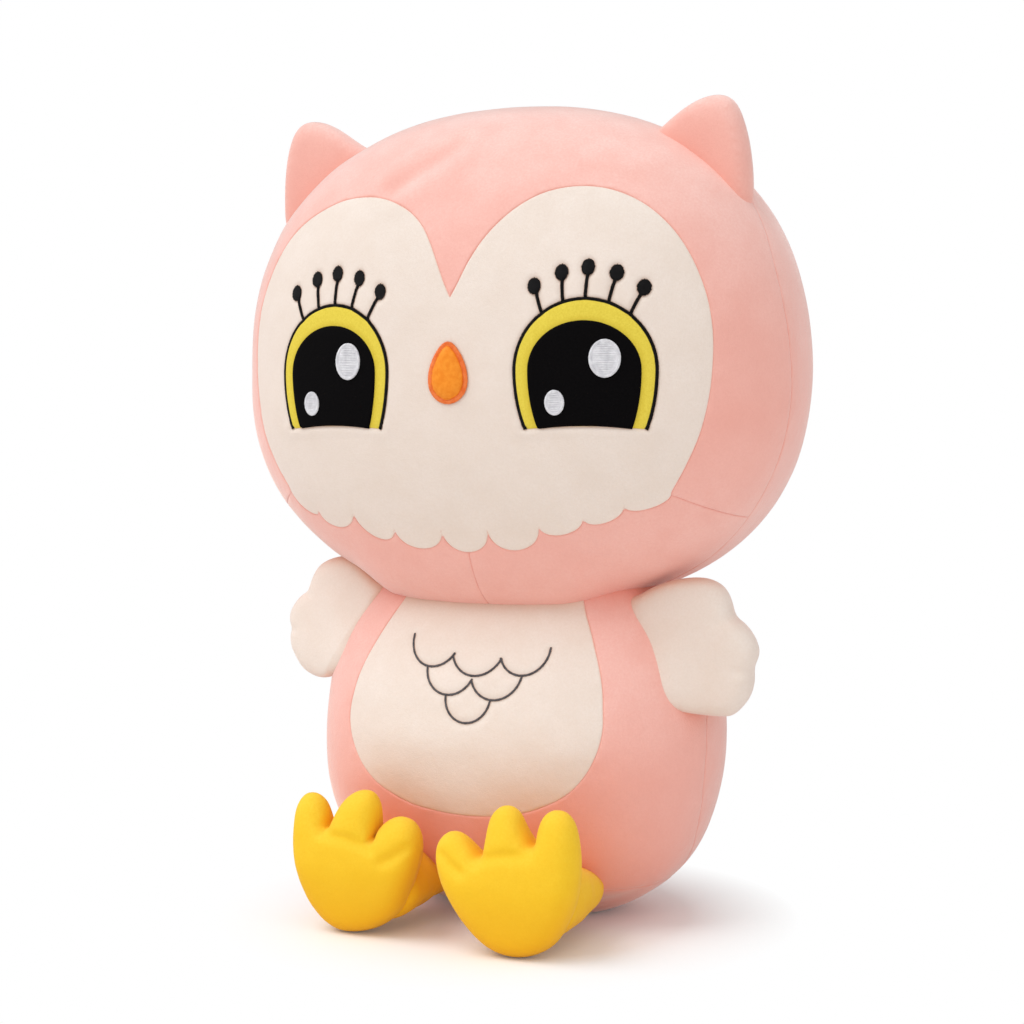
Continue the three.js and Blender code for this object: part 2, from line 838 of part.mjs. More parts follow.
function buildBeak() {
  const border = frontPrism(beakOutline(0)).subtract(frontPrism(beakOutline(beakBorderWidth)));
  const outerSkin = layerSolid(headForm, -(seamGap + appliqueThickness + embroideryThickness), -seamGap);
  addPiece('beak_border', outerSkin.intersect(border), 'salmon', 0.6);
  const core = beakOutline(beakBorderWidth + seamGap);
  const bead = toSolid(pillowGeometry(core, beakSwell + seamGap, -headFrontDepth, 0));
  addPiece('beak', bead.subtract(formSolid(headForm, -seamGap)), 'orange', 0.6);
}

// Body panels and the feather embroidery

function bellyPoint([across, up]) {
  return new THREE.Vector2(
    across * bellyHalfWidth, bellyBottomHeight + up * (neckHeight - bellyBottomHeight));
}

function bellyOutline() {
  const half = smoothLine(bellyShares.map(bellyPoint), false, 16);
  return [...half, ...mirrored(half.slice(1))];
}

/** Hanging arc of thread around a point, whose ends rise past its centre by an angle each. */
function scallopPrism(centre, leftLift, rightLift) {
  const steps = 6;
  const start = radians(-180 - leftLift);
  const end = radians(rightLift);
  const arc = (radius) => Array.from({ length: steps + 1 }, (_, step) => {
    const angle = start + ((end - start) * step) / steps;
    return new THREE.Vector2(centre.x + radius * Math.cos(angle), centre.y + radius * Math.sin(angle));
  });
  return frontPrism([
    ...arc(featherRadius + featherLineWidth / 2),
    ...arc(featherRadius - featherLineWidth / 2).reverse(),
  ]);
}

function featherLines() {
  const scallops = [];
  for (let row = 0; row < featherRows; row += 1) {
    const inRow = featherRows - row;
    for (let place = 0; place < inRow; place += 1) {
      const across = (place - (inRow - 1) / 2) * 2 * featherRadius;
      const centre = new THREE.Vector2(across, neckHeight - featherBelowNeck - row * featherRowPitch);
      const leftLift = row === 0 && place === 0 ? featherEndAngle : 0;
      const rightLift = row === 0 && place === inRow - 1 ? featherEndAngle : 0;
      scallops.push(scallopPrism(centre, leftLift, rightLift));
    }
  }
  return joined(scallops);
}

/** Space that the head takes while it nods. */
function headSweep() {
  const angles = sweepAngles(-nodBackAngle, nodForwardAngle, 2);
  return sweptSolid(formGeometry(headForm, -jointGap), headJoint, angles);
}

function buildBody() {
  const headSpace = headSweep();
  const skin = layerSolid(bodyForm, 0, clothThickness).subtract(headSpace);
  const base = skin.intersect(halfSpace('z', baseSeamHeight - seamGap / 2, -1));
  const wall = skin.intersect(halfSpace('z', baseSeamHeight + seamGap / 2, 1));
  const front = wall.intersect(halfSpace('y', -bodySeamForward - seamGap / 2, -1));
  const back = wall.intersect(halfSpace('y', -bodySeamForward + seamGap / 2, 1));
  const outline = bellyOutline();
  addPiece('body_filling', formSolid(bodyForm, fillingInset).subtract(headSpace), 'stuffing');
  addPiece('base_panel', base, 'pink');
  addPiece('belly_panel', front.intersect(frontPrism(outline)), 'cream');
  addPiece('body_front_panel', front.subtract(frontPrism(offsetOutline(outline, seamGap))), 'pink');
  for (const side of sides) {
    const half = halfSpace('x', side.sign * (seamGap / 2), side.sign);
    addPiece(`body_back_panel_${side.name}`, back.intersect(half), 'pink');
  }
  const thread = layerSolid(bodyForm, -(seamGap + embroideryThickness), -seamGap);
  addPiece('chest_embroidery', thread.intersect(featherLines()), 'grey', 0.6);
}

// Wings: padded plates sewn into the body along a leaning root line

function buildWings() {
  for (const side of sides) {
    const joint = wingJoint(side);
    const lean = (side.sign * joint.axis.x) / joint.axis.z;
    const outline = onSide(smoothLine(wingShares.map(([out, up]) => {
      const height = up * wingHeight;
      const root = side.sign * joint.point.x + lean * height * (1 - Math.min(Math.max(out, 0), 1));
      return new THREE.Vector2(root + out * wingSpan, joint.point.z + height);
    }), true, 24), side);
    const padded = (inset) => toSolid(pillowGeometry(outline, wingHalfThickness, -wingForward, inset));
    const angles = sweepAngles(-wingBackAngle, wingForwardAngle, 4);
    const bodySpace = sweptSolid(formGeometry(bodyForm, -jointGap), joint, angles);
    const headSpace = sweptSolid(toGeometry(headSweep()), joint, sweepAngles(-wingBackAngle, 0, 2));
    const skin = padded(0).subtract(padded(clothThickness)).subtract(bodySpace).subtract(headSpace);
    const frontHalf = halfSpace('y', -wingForward - seamGap / 2, -1);
    const backHalf = halfSpace('y', -wingForward + seamGap / 2, 1);
    const filling = padded(fillingInset).subtract(bodySpace).subtract(headSpace);
    addPiece(`wing_${side.name}_front_panel`, skin.intersect(frontHalf), 'cream');
    addPiece(`wing_${side.name}_back_panel`, skin.intersect(backHalf), 'cream');
    addPiece(`wing_${side.name}_filling`, filling, 'stuffing');
  }
}

// Legs and feet: a flat-sewn hip, a swelling leg, and a foot with three toes

/** Leg from its pinched hip to the back of the foot, as rings along its length. */
function legGeometry(inset) {
  const hipForward = bodyFrontAt(hipHeight, footSpacing / 2) - hipSink;
  const length = footPlane - hipForward;
  const profile = [{ width: 0, front: 0, back: 0, height: 0 }];
  for (const share of legRingShares) {
    const swell = Math.sin((Math.min(share / legSwellShare, 1) * Math.PI) / 2);
    const width = THREE.MathUtils.lerp(hipHalfWidth, legHalfWidth, swell);
    const height = THREE.MathUtils.lerp(hipHalfHeight, legHalfHeight, swell);
    profile.push({ width, front: height, back: height, height: share * length });
  }
  profile.push({ width: 0, front: 0, back: 0, height: length });
  const tube = ringGeometry(insetProfile(profile, inset), legPlanExponent, legFacets);
  const basis = new THREE.Matrix4().makeBasis(
    new THREE.Vector3(1, 0, 0), new THREE.Vector3(0, 0, 1), new THREE.Vector3(0, -1, 0));
  const slope = (legHeight - hipHeight) / length;
  const shear = new THREE.Matrix4().set(
    1, 0, 0, 0,
    0, 1, 0, 0,
    0, -slope, 1, 0,
    0, 0, 0, 1);
  return tube.applyMatrix4(basis).applyMatrix4(shear).translate(0, -hipForward, hipHeight);
}

/** Foot paddle with its toes, standing in the plane of its middle. */
function footSolid(inset, sign) {
  const parts = [formSolid(palmForm, inset)];
  for (const toe of toeShares) {
    const form = { ...toeForm, rise: toeForm.rise * toe.length, drop: toeForm.drop * toe.length };
    const geometry = formGeometry(form, inset)
      .rotateY(radians(toe.lean * sign))
      .translate(sign * toe.across * footHalfWidth, 0, toe.up * palmHeight);
    parts.push(toSolid(geometry));
  }
  return joined(parts);
}

function movedSolid(solid, x, y, z) {
  return toSolid(toGeometry(solid).translate(x, y, z));
}

function buildLegs() {
  for (const side of sides) {
    const middle = side.sign * (footSpacing / 2);
    const joint = hipJoint(side);
    const angles = sweepAngles(-legDropAngle, legLiftAngle, 4);
    const bodySpace = sweptSolid(formGeometry(bodyForm, -jointGap), joint, angles);
    const leg = (inset) => toSolid(legGeometry(inset).translate(middle, 0, 0));
    const foot = (inset) => movedSolid(footSolid(inset, side.sign), middle, -footPlane, 0);
    const behindFoot = halfSpace('y', -footPlane + footHalfThickness / 2, 1);
    const footGround = foot(-seamGap);
    const sleeve = leg(0).subtract(bodySpace).subtract(leg(clothThickness));
    const skin = foot(0).subtract(foot(clothThickness));
    const frontHalf = halfSpace('y', -footPlane - seamGap / 2, -1);
    const backHalf = halfSpace('y', -footPlane + seamGap / 2, 1);
    addPiece(`leg_${side.name}_cover`, sleeve.subtract(footGround).intersect(behindFoot), 'yellow');
    addPiece(`foot_${side.name}_front_panel`, skin.intersect(frontHalf), 'yellow');
    addPiece(`foot_${side.name}_back_panel`, skin.intersect(backHalf), 'yellow');
    const legFilling = leg(fillingInset).subtract(bodySpace).subtract(footGround);
    addPiece(`leg_${side.name}_filling`, legFilling.intersect(behindFoot), 'stuffing');
    addPiece(`foot_${side.name}_filling`, foot(fillingInset), 'stuffing');
  }
}

buildHead();
buildEars();
buildEyes();
buildBeak();
buildBody();
buildWings();
buildLegs();

export default owl;
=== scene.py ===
"""Plush owl: sewn and stuffed panels, embroidery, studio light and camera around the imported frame."""
import logging
import math
from dataclasses import dataclass, field
from enum import Enum
from functools import cached_property

import bpy
import numpy as np
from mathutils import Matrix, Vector
from mathutils.bvhtree import BVHTree
from mathutils.geometry import delaunay_2d_cdt


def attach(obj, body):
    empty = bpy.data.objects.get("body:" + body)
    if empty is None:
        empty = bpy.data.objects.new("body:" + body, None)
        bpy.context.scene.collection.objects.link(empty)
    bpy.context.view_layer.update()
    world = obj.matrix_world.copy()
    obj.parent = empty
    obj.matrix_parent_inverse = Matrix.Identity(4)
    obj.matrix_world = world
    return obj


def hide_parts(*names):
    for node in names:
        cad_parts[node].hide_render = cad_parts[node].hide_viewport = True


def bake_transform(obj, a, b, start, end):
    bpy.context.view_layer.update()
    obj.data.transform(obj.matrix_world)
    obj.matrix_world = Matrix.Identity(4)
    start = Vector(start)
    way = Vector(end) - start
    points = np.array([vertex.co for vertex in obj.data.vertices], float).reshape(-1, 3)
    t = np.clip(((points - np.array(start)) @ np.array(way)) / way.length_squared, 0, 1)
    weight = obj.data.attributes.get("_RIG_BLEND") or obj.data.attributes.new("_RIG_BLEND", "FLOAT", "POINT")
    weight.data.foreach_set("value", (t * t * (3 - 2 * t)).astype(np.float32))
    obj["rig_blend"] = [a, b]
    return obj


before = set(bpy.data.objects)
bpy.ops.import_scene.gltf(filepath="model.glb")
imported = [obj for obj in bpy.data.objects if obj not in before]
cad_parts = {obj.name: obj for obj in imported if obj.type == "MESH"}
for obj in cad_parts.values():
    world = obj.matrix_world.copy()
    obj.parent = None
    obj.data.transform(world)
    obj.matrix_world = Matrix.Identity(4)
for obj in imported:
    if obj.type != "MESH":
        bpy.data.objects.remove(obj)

LOG = logging.getLogger("plush_owl")
MM = 0.001
FRONT_START = -400.0
SEED = 7
KEPT_FIELDS = ("seam", "rim")
NORMAL_FIELDS = ("nx", "ny", "nz")
FAR = 1e3
TINY = 1e-9
ON_CUT = 1e-5
BATCH = 2000
SPAN_STEPS = 24
SHARP_ANGLE = math.radians(55)
NOISE_PRIMES = (73856093, 19349663, 83492791)
NOISE_SEED_PRIME = 2654435
NOISE_LEVELS = 10007
X, Y, Z = range(3)
MIRRORED_FLAT = np.array([-1.0, 1.0])

Flat = tuple[float, float]
Line = tuple[Flat, ...]
Place = tuple[float, float, float]
Colour = tuple[float, float, float]
Socket = bpy.types.NodeSocket
Bend = tuple[str, str, Vector, Vector]


class Side(Enum):
    """Sides of the owl, with the sign of their X direction."""

    LEFT = 1
    RIGHT = -1

    @property
    def tag(self) -> str:
        """Name of the side as the frame's nodes write it."""
        return self.name.lower()


class Slot(Enum):
    """Material slots of the record."""

    PINK = "pink_plush"
    CREAM = "cream_plush"
    YELLOW = "yellow_plush"
    IRIS = "iris_cloth"
    BLACK_CLOTH = "black_cloth"
    BLACK_THREAD = "black_thread"
    WHITE_THREAD = "white_thread"
    ORANGE_THREAD = "orange_thread"
    SALMON_THREAD = "salmon_thread"
    GREY_THREAD = "grey_thread"


# Numbers and lines


def smooth_step(value: np.ndarray) -> np.ndarray:
    """Eases a value from 0 to 1."""
    share = np.clip(value, 0, 1)
    return share * share * (3 - 2 * share)


def ramp(value: np.ndarray, start: float, end: float) -> np.ndarray:
    """Share that eases from 0 to 1 as a value goes from start to end."""
    return smooth_step((value - start) / (end - start))


def bell(distance: np.ndarray, width: float) -> np.ndarray:
    """Soft bump of height 1 that fades over a width."""
    return np.exp(-((distance / width) ** 2))


def unit(ways: np.ndarray, least: float = 1e-12) -> np.ndarray:
    """Rows scaled to length 1."""
    return ways / np.maximum(np.linalg.norm(ways, axis=1), least)[:, None]


def line_ways(line: np.ndarray, closed: bool = False) -> tuple[np.ndarray, np.ndarray]:
    """Unit runs along a flat line, and the unit ways to the left of them."""
    run = unit(np.roll(line, -1, axis=0) - np.roll(line, 1, axis=0) if closed else np.gradient(line, axis=0))
    return run, np.stack([-run[:, 1], run[:, 0]], 1)


def circle(count: int) -> np.ndarray:
    """Flat places around a circle of radius 1."""
    turn = np.linspace(0, 2 * math.pi, count, endpoint=False)
    return np.stack([np.cos(turn), np.sin(turn)], 1)


def value_noise(points: np.ndarray, size: float, seed: int) -> np.ndarray:
    """Smooth noise between -1 and 1.

    Args:
        points: places in millimetres.
        size: distance between the noise's own grid points.
        seed: picks the noise.

    Returns:
        One value for each place.
    """
    place = points / size + 100.0
    low = np.floor(place).astype(np.int64)
    part = smooth_step(place - low)
    total = np.zeros(len(points))
    for corner in range(8):
        step = np.array([corner & 1, (corner >> 1) & 1, (corner >> 2) & 1])
        x, y, z = ((low + step) * NOISE_PRIMES).T
        level = ((x ^ y ^ z ^ (seed * NOISE_SEED_PRIME)) % NOISE_LEVELS) / NOISE_LEVELS * 2 - 1
        total += level * np.prod(np.where(step == 1, part, 1 - part), axis=1)
    return total


@dataclass(frozen=True)
class Wave:
    """Unevenness of cloth: its height, the distance between its swells and its seed."""

    height: float
    size: float
    seed: int

    def at(self, points: np.ndarray) -> np.ndarray:
        """Height of the wave at places in millimetres."""
        return self.height * value_noise(points, self.size, self.seed)


@dataclass(frozen=True)
class Slope:
    """Share that eases from 0 to 1 as a place goes from start to end along an axis."""

    axis: int
    start: float
    end: float

    def at(self, points: np.ndarray) -> np.ndarray:
        """The share at places in millimetres."""
        return ramp(points[:, self.axis], self.start, self.end)


@dataclass(frozen=True)
class Change:
    """Height or move, in millimetres, that cloth has where all its slopes are 1."""

    amount: float | Place
    slopes: tuple[Slope, ...] = ()

    def at(self, points: np.ndarray) -> np.ndarray:
        """The height or move at places in millimetres.

        Args:
            points: places in millimetres.

        Returns:
            One height or move for each place.
        """
        share = np.ones(len(points))
        for slope in self.slopes:
            share = share * slope.at(points)
        return np.multiply.outer(share, np.array(self.amount, dtype=float))


def smooth_line(points: list[tuple[float, float]], closed: bool, step: float) -> np.ndarray:
    """Even points along a centripetal curve through the given ones.

    Args:
        points: places that the line goes through.
        closed: whether the last place joins the first.
        step: distance between the even points.

    Returns:
        The even points, the last one left out where the line is closed.
    """
    given = np.array(points, dtype=float)
    count = len(given)
    spans = count if closed else count - 1
    dense = []
    for index in range(spans):
        if closed:
            p0, p1, p2, p3 = (given[(index + shift) % count] for shift in (-1, 0, 1, 2))
        else:
            p1, p2 = given[index], given[index + 1]
            p0 = given[index - 1] if index else 2 * p1 - p2
            p3 = given[index + 2] if index + 2 < count else 2 * p2 - p1
        k1, k2, k3 = (max(np.linalg.norm(b - a) ** 0.5, 1e-6) for a, b in ((p0, p1), (p1, p2), (p2, p3)))
        m1 = (p2 - p1) + k2 * ((p1 - p0) / k1 - (p2 - p0) / (k1 + k2))
        m2 = (p2 - p1) + k2 * ((p3 - p2) / k3 - (p3 - p1) / (k2 + k3))
        t = np.linspace(0, 1, SPAN_STEPS, endpoint=False)[:, None]
        dense.append((2 * t**3 - 3 * t**2 + 1) * p1 + (t**3 - 2 * t**2 + t) * m1
                     + (-2 * t**3 + 3 * t**2) * p2 + (t**3 - t**2) * m2)
    line = np.vstack(dense + [given[:1] if closed else given[-1:]])
    return resampled(line, step, closed)


def resampled(line: np.ndarray, step: float, closed: bool) -> np.ndarray:
    """Points at an even step along a line, whose closed form leaves out the last.

    Args:
        line: points along the line.
        step: distance from point to point.
        closed: whether the line closes on itself.

    Returns:
        The evenly spaced points.
    """
    runs = np.concatenate([[0], np.cumsum(np.linalg.norm(np.diff(line, axis=0), axis=1))])
    count = max(int(round(runs[-1] / step)), 3)
    places = np.linspace(0, runs[-1], count + 1)
    even = np.stack([np.interp(places, runs, line[:, axis]) for axis in range(line.shape[1])], axis=1)
    return even[:-1] if closed else even


def line_distance(points: np.ndarray, line: np.ndarray, closed: bool) -> tuple[np.ndarray, np.ndarray]:
    """Distance in the plane from points to a line, with the way from the line to each point.

    Args:
        points: flat places.
        line: corners of the line.
        closed: whether its last corner joins the first.

    Returns:
        Distances, and unit directions away from the line.
    """
    ends = np.roll(line, -1, axis=0) if closed else line[1:]
    starts = line if closed else line[:-1]
    run = ends - starts
    size = np.maximum((run**2).sum(1), 1e-12)
    best = np.full(len(points), 1e9)
    away = np.zeros((len(points), 2))
    for first in range(0, len(points), BATCH):
        some = points[first:first + BATCH]
        offset = some[:, None, :] - starts[None]
        share = np.clip((offset * run[None]).sum(2) / size, 0, 1)
        gap = offset - share[..., None] * run[None]
        length = np.sqrt((gap**2).sum(2))
        nearest = length.argmin(1)
        rows = np.arange(len(some))
        best[first:first + BATCH] = length[rows, nearest]
        away[first:first + BATCH] = gap[rows, nearest] / np.maximum(length[rows, nearest], TINY)[:, None]
    return best, away


def inside(points: np.ndarray, outline: np.ndarray) -> np.ndarray:
    """Whether flat places lie inside a closed outline.

    Args:
        points: flat places.
        outline: the closed outline.

    Returns:
        Whether each place is inside.
    """
    result = np.zeros(len(points), dtype=bool)
    for start, end in zip(outline, np.roll(outline, -1, axis=0)):
        spans = (start[1] > points[:, 1]) != (end[1] > points[:, 1])
        rise = end[1] - start[1]
        cross = start[0] + (points[:, 1] - start[1]) * (end[0] - start[0]) / (rise if rise else 1e-12)
        result ^= spans & (points[:, 0] < cross)
    return result


def outline_depth(points: np.ndarray, outline: np.ndarray) -> tuple[np.ndarray, np.ndarray]:
    """Distance inwards from a closed outline, negative outside it, with its direction.

    Args:
        points: flat places.
        outline: the closed outline.

    Returns:
        Distance and outward way for each place.
    """
    distance, away = line_distance(points, outline, True)
    sign = np.where(inside(points, outline), 1.0, -1.0)
    return distance * sign, away * sign[:, None]


def open_edges(faces: np.ndarray) -> np.ndarray:
    """Pairs of points that only one triangle joins.

    Args:
        faces: three point numbers for each triangle, turned outwards.

    Returns:
        Two point numbers for each open edge.
    """
    ring = faces[:, [0, 1, 1, 2, 2, 0]].reshape(-1, 2)
    _, first, uses = np.unique(np.sort(ring, axis=1), axis=0, return_index=True, return_counts=True)
    return ring[first[uses == 1]]


def on_border(count: int, faces: np.ndarray) -> np.ndarray:
    """Whether each of so many points lies on an open edge.

    Args:
        count: number of points.
        faces: three point numbers for each triangle.

    Returns:
        Whether each point is on an open edge.
    """
    result = np.zeros(count, dtype=bool)
    result[open_edges(faces)] = True
    return result


# Cloth as numbers: a triangle mesh in millimetres


class Skin:
    """Triangle mesh in millimetres whose points carry named values."""

    def __init__(self, points: np.ndarray, faces: np.ndarray,
                 fields: dict[str, np.ndarray] | None = None) -> None:
        """Keeps the mesh.

        Args:
            points: places in millimetres.
            faces: three corners for each triangle, outwards.
            fields: values for each point, by name.
        """
        self.points = np.asarray(points, dtype=float)
        self.faces = np.asarray(faces, dtype=np.int64)
        self.fields = fields or {}

    def face_normals(self) -> np.ndarray:
        """Normals of the triangles, as long as twice their area."""
        a, b, c = (self.points[self.faces[:, k]] for k in range(3))
        return np.cross(b - a, c - a)

    def normals(self) -> np.ndarray:
        """Unit normals of the points.

        Returns:
            One normal for each point.
        """
        way = self.face_normals()
        total = np.zeros_like(self.points)
        for k in range(3):
            for axis in range(3):
                total[:, axis] += np.bincount(self.faces[:, k], way[:, axis], len(self.points))
        return unit(total)

    def lift(self, height: np.ndarray) -> None:
        """Moves every point along its normal."""
        self.points = self.points + self.normals() * height[:, None]

    def move(self, changes: tuple[Change, ...]) -> None:
        """Moves the points by one change after the other."""
        for change in changes:
            self.points = self.points + change.at(self.points)

    def above(self, floor: float = 0.0) -> None:
        """Lays every point that is under the floor on it."""
        self.points[:, Z] = np.maximum(self.points[:, Z], floor)

    def edge_table(self) -> tuple[np.ndarray, np.ndarray]:
        """Edges with their lower point first, and the three edges of each triangle.

        Returns:
            The edges, and edge numbers for each triangle.
        """
        ring = self.faces[:, [0, 1, 1, 2, 2, 0]].reshape(-1, 2)
        count = len(self.points)
        keys, back = np.unique(ring.min(1) * count + ring.max(1), return_inverse=True)
        return np.stack([keys // count, keys % count], axis=1), back.reshape(-1, 3)

    def divided(self, cut: np.ndarray, share: np.ndarray) -> "Skin":
        """Mesh with a new point on each cut edge.

        Args:
            cut: whether each edge of the edge table gets a point.
            share: where along each edge the point lies.

        Returns:
            The divided mesh, with its fields carried over.
        """
        pairs, face_edges = self.edge_table()
        fresh = np.full(len(pairs), -1)
        fresh[cut] = len(self.points) + np.arange(int(cut.sum()))
        a, b = pairs[cut].T
        t = share[cut]
        points = np.vstack([self.points, self.points[a] * (1 - t)[:, None] + self.points[b] * t[:, None]])
        fields = {name: np.concatenate([value, value[a] * (1 - t) + value[b] * t])
                  for name, value in self.fields.items()}
        mids = fresh[face_edges]
        count = (mids >= 0).sum(1)
        done = [self.faces[count == 0]]
        for turn in range(3):
            corners = np.roll(self.faces, -turn, axis=1)
            middle = np.roll(mids, -turn, axis=1)
            one = (count == 1) & (middle[:, 0] >= 0)
            a, b, c = corners[one].T
            p = middle[one, 0]
            done += [np.stack([a, p, c], 1), np.stack([p, b, c], 1)]
            two = (count == 2) & (middle[:, 2] < 0)
            a, b, c = corners[two].T
            p, q = middle[two, 0], middle[two, 1]
            done.append(np.stack([p, b, q], 1))
            short = (np.linalg.norm(points[a] - points[q], axis=1)
                     < np.linalg.norm(points[p] - points[c], axis=1))[:, None]
            done.append(np.where(short, np.stack([a, p, q], 1), np.stack([a, p, c], 1)))
            done.append(np.where(short, np.stack([a, q, c], 1), np.stack([p, q, c], 1)))
        a, b, c = self.faces[count == 3].T
        p, q, r = mids[count == 3].T
        done += [np.stack(trio, 1) for trio in ((a, p, r), (p, b, q), (r, q, c), (p, q, r))]
        return Skin(points, np.vstack(done), fields)

    def refined(self, near: np.ndarray) -> "Skin":
        """Mesh whose triangles with a chosen point are halved along every edge.

        Args:
            near: whether each point is chosen.

        Returns:
            The finer mesh.
        """
        _, face_edges = self.edge_table()
        cut = np.zeros(face_edges.max() + 1, dtype=bool)
        cut[face_edges[near[self.faces].any(1)].ravel()] = True
        return self.divided(cut, np.full(len(cut), 0.5))

    def sliced(self, name: str, level: float = 0.0, snap: float = 0.22) -> "Skin":
        """Mesh with an unbroken row of edges where a field passes a level.

        Args:
            name: the field.
            level: the value to cut at.
            snap: share of an edge within which a point moves onto the cut instead.

        Returns:
            The sliced mesh.
        """
        skin = Skin(self.points.copy(), self.faces, {key: value.copy() for key, value in self.fields.items()})
        fixed = skin.fields.setdefault("fixed", np.zeros(len(skin.points)))
        height = skin.fields[name] - level
        pairs, _ = skin.edge_table()
        a, b = pairs.T
        cross = height[a] * height[b] < 0
        share = height[a] / np.where(cross, height[a] - height[b], 1)
        near_a = cross & (share < snap) & (fixed[a] < 0.99)
        near_b = cross & (share > 1 - snap) & (fixed[b] < 0.99)
        moved = np.concatenate([a[near_a], b[near_b]])
        other = np.concatenate([b[near_a], a[near_b]])
        way = np.concatenate([share[near_a], 1 - share[near_b]])
        order = np.argsort(-way, kind="stable")
        moved, other, way = moved[order], other[order], way[order]
        old = self.points
        skin.points[moved] = old[moved] + way[:, None] * (old[other] - old[moved])
        for key, value in self.fields.items():
            skin.fields[key][moved] = value[moved] + way * (value[other] - value[moved])
        skin.fields[name][moved] = level
        height = skin.fields[name] - level
        height[np.abs(height) < 1e-5] = 0
        cross = height[a] * height[b] < 0
        share = height[a] / np.where(cross, height[a] - height[b], 1)
        result = skin.divided(cross, share)
        value = result.fields[name]
        on_cut = np.abs(value - level) < 1e-5
        value[on_cut] = level
        if level == 0.0:
            result.fields["fixed"][on_cut] = 1.0
        return result

    def part(self, keep: np.ndarray) -> "Skin":
        """Mesh of the chosen triangles alone.

        Args:
            keep: whether each triangle is chosen.

        Returns:
            The chosen part.
        """
        faces = self.faces[keep]
        used, back = np.unique(faces, return_inverse=True)
        fields = {name: value[used] for name, value in self.fields.items()}
        return Skin(self.points[used], back.reshape(-1, 3), fields)

    def on_faces(self, name: str) -> np.ndarray:
        """Sum of a field over the corners of each triangle."""
        return self.fields[name][self.faces].sum(1)

    def thickened(self, thickness: float) -> "Skin":
        """Closed cloth: this skin outside, a copy of it inside and a wall along its edges.

        Args:
            thickness: thickness of the cloth.

        Returns:
            The closed cloth.
        """
        count = len(self.points)
        inner = self.points - self.normals() * thickness
        a, b = open_edges(self.faces).T
        walls = np.vstack([np.stack([b, a, a + count], 1), np.stack([b, a + count, b + count], 1)])
        faces = np.vstack([self.faces, self.faces[:, ::-1] + count, walls])
        fields = {name: np.concatenate([value, value]) for name, value in self.fields.items()}
        return Skin(np.vstack([self.points, inner]), faces, fields)

    def mirrored(self) -> "Skin":
        """The same cloth on the owl's other side.

        Returns:
            The mirrored cloth.
        """
        points = self.points * np.array([-1.0, 1.0, 1.0])
        fields = {name: value.copy() for name, value in self.fields.items()}
        return Skin(points, self.faces[:, ::-1], fields)

    def joined(self, other: "Skin") -> "Skin":
        """Both meshes as one, with the fields that they share.

        Args:
            other: the mesh to add.

        Returns:
            The joined mesh.
        """
        fields = {name: np.concatenate([value, other.fields[name]])
                  for name, value in self.fields.items() if name in other.fields}
        return Skin(np.vstack([self.points, other.points]),
                    np.vstack([self.faces, other.faces + len(self.points)]), fields)

    def to_object(self, name: str) -> bpy.types.Object:
        """Makes a smooth Blender object in metres, with the kept fields as attributes.

        Args:
            name: its name.

        Returns:
            The object.
        """
        fields = {key: self.fields[key] for key in KEPT_FIELDS if key in self.fields}
        made = raw_object(name, self.points, self.faces.tolist(), fields)
        made.data.shade_smooth()
        made.data.set_sharp_from_angle(angle=SHARP_ANGLE)
        return made

    @staticmethod
    def closed_pair(top: np.ndarray, bottom: np.ndarray, faces: np.ndarray, border: np.ndarray,
                    ways: np.ndarray) -> "Skin":
        """Two layers that share their border, as one closed skin.

        Args:
            top: places of the outer layer.
            bottom: places of the inner layer.
            faces: triangles of one layer.
            border: whether each place lies on the border.
            ways: outward ways of the outer layer.

        Returns:
            The skin, with the outer layer's points before the inner layer's own.
        """
        inner = np.flatnonzero(~border)
        under = np.arange(len(top))
        under[inner] = len(top) + np.arange(len(inner))
        skin = Skin(np.vstack([top, bottom[inner]]), np.vstack([faces, under[faces][:, ::-1]]))
        if (skin.face_normals()[:len(faces)] * ways[faces[:, 0]]).sum() < 0:
            skin.faces = skin.faces[:, ::-1]
        return skin

    @staticmethod
    def from_object(made: bpy.types.Object) -> "Skin":
        """Reads an object's final mesh, with its float attributes, and removes the object.

        Args:
            made: the object.

        Returns:
            The mesh in millimetres.
        """
        graph = bpy.context.evaluated_depsgraph_get()
        mesh = bpy.data.meshes.new_from_object(made.evaluated_get(graph), depsgraph=graph)
        points = np.empty(len(mesh.vertices) * 3)
        mesh.vertices.foreach_get("co", points)
        mesh.calc_loop_triangles()
        faces = np.empty(len(mesh.loop_triangles) * 3, dtype=np.int32)
        mesh.loop_triangles.foreach_get("vertices", faces)
        fields = {}
        for attribute in mesh.attributes:
            if attribute.data_type == "FLOAT" and attribute.domain == "POINT":
                value = np.empty(len(mesh.vertices), dtype=np.float32)
                attribute.data.foreach_get("value", value)
                fields[attribute.name] = value.astype(float)
        raw = made.data
        bpy.data.meshes.remove(mesh)
        bpy.data.objects.remove(made)
        bpy.data.meshes.remove(raw)
        return Skin(points.reshape(-1, 3) / MM, faces.reshape(-1, 3), fields)


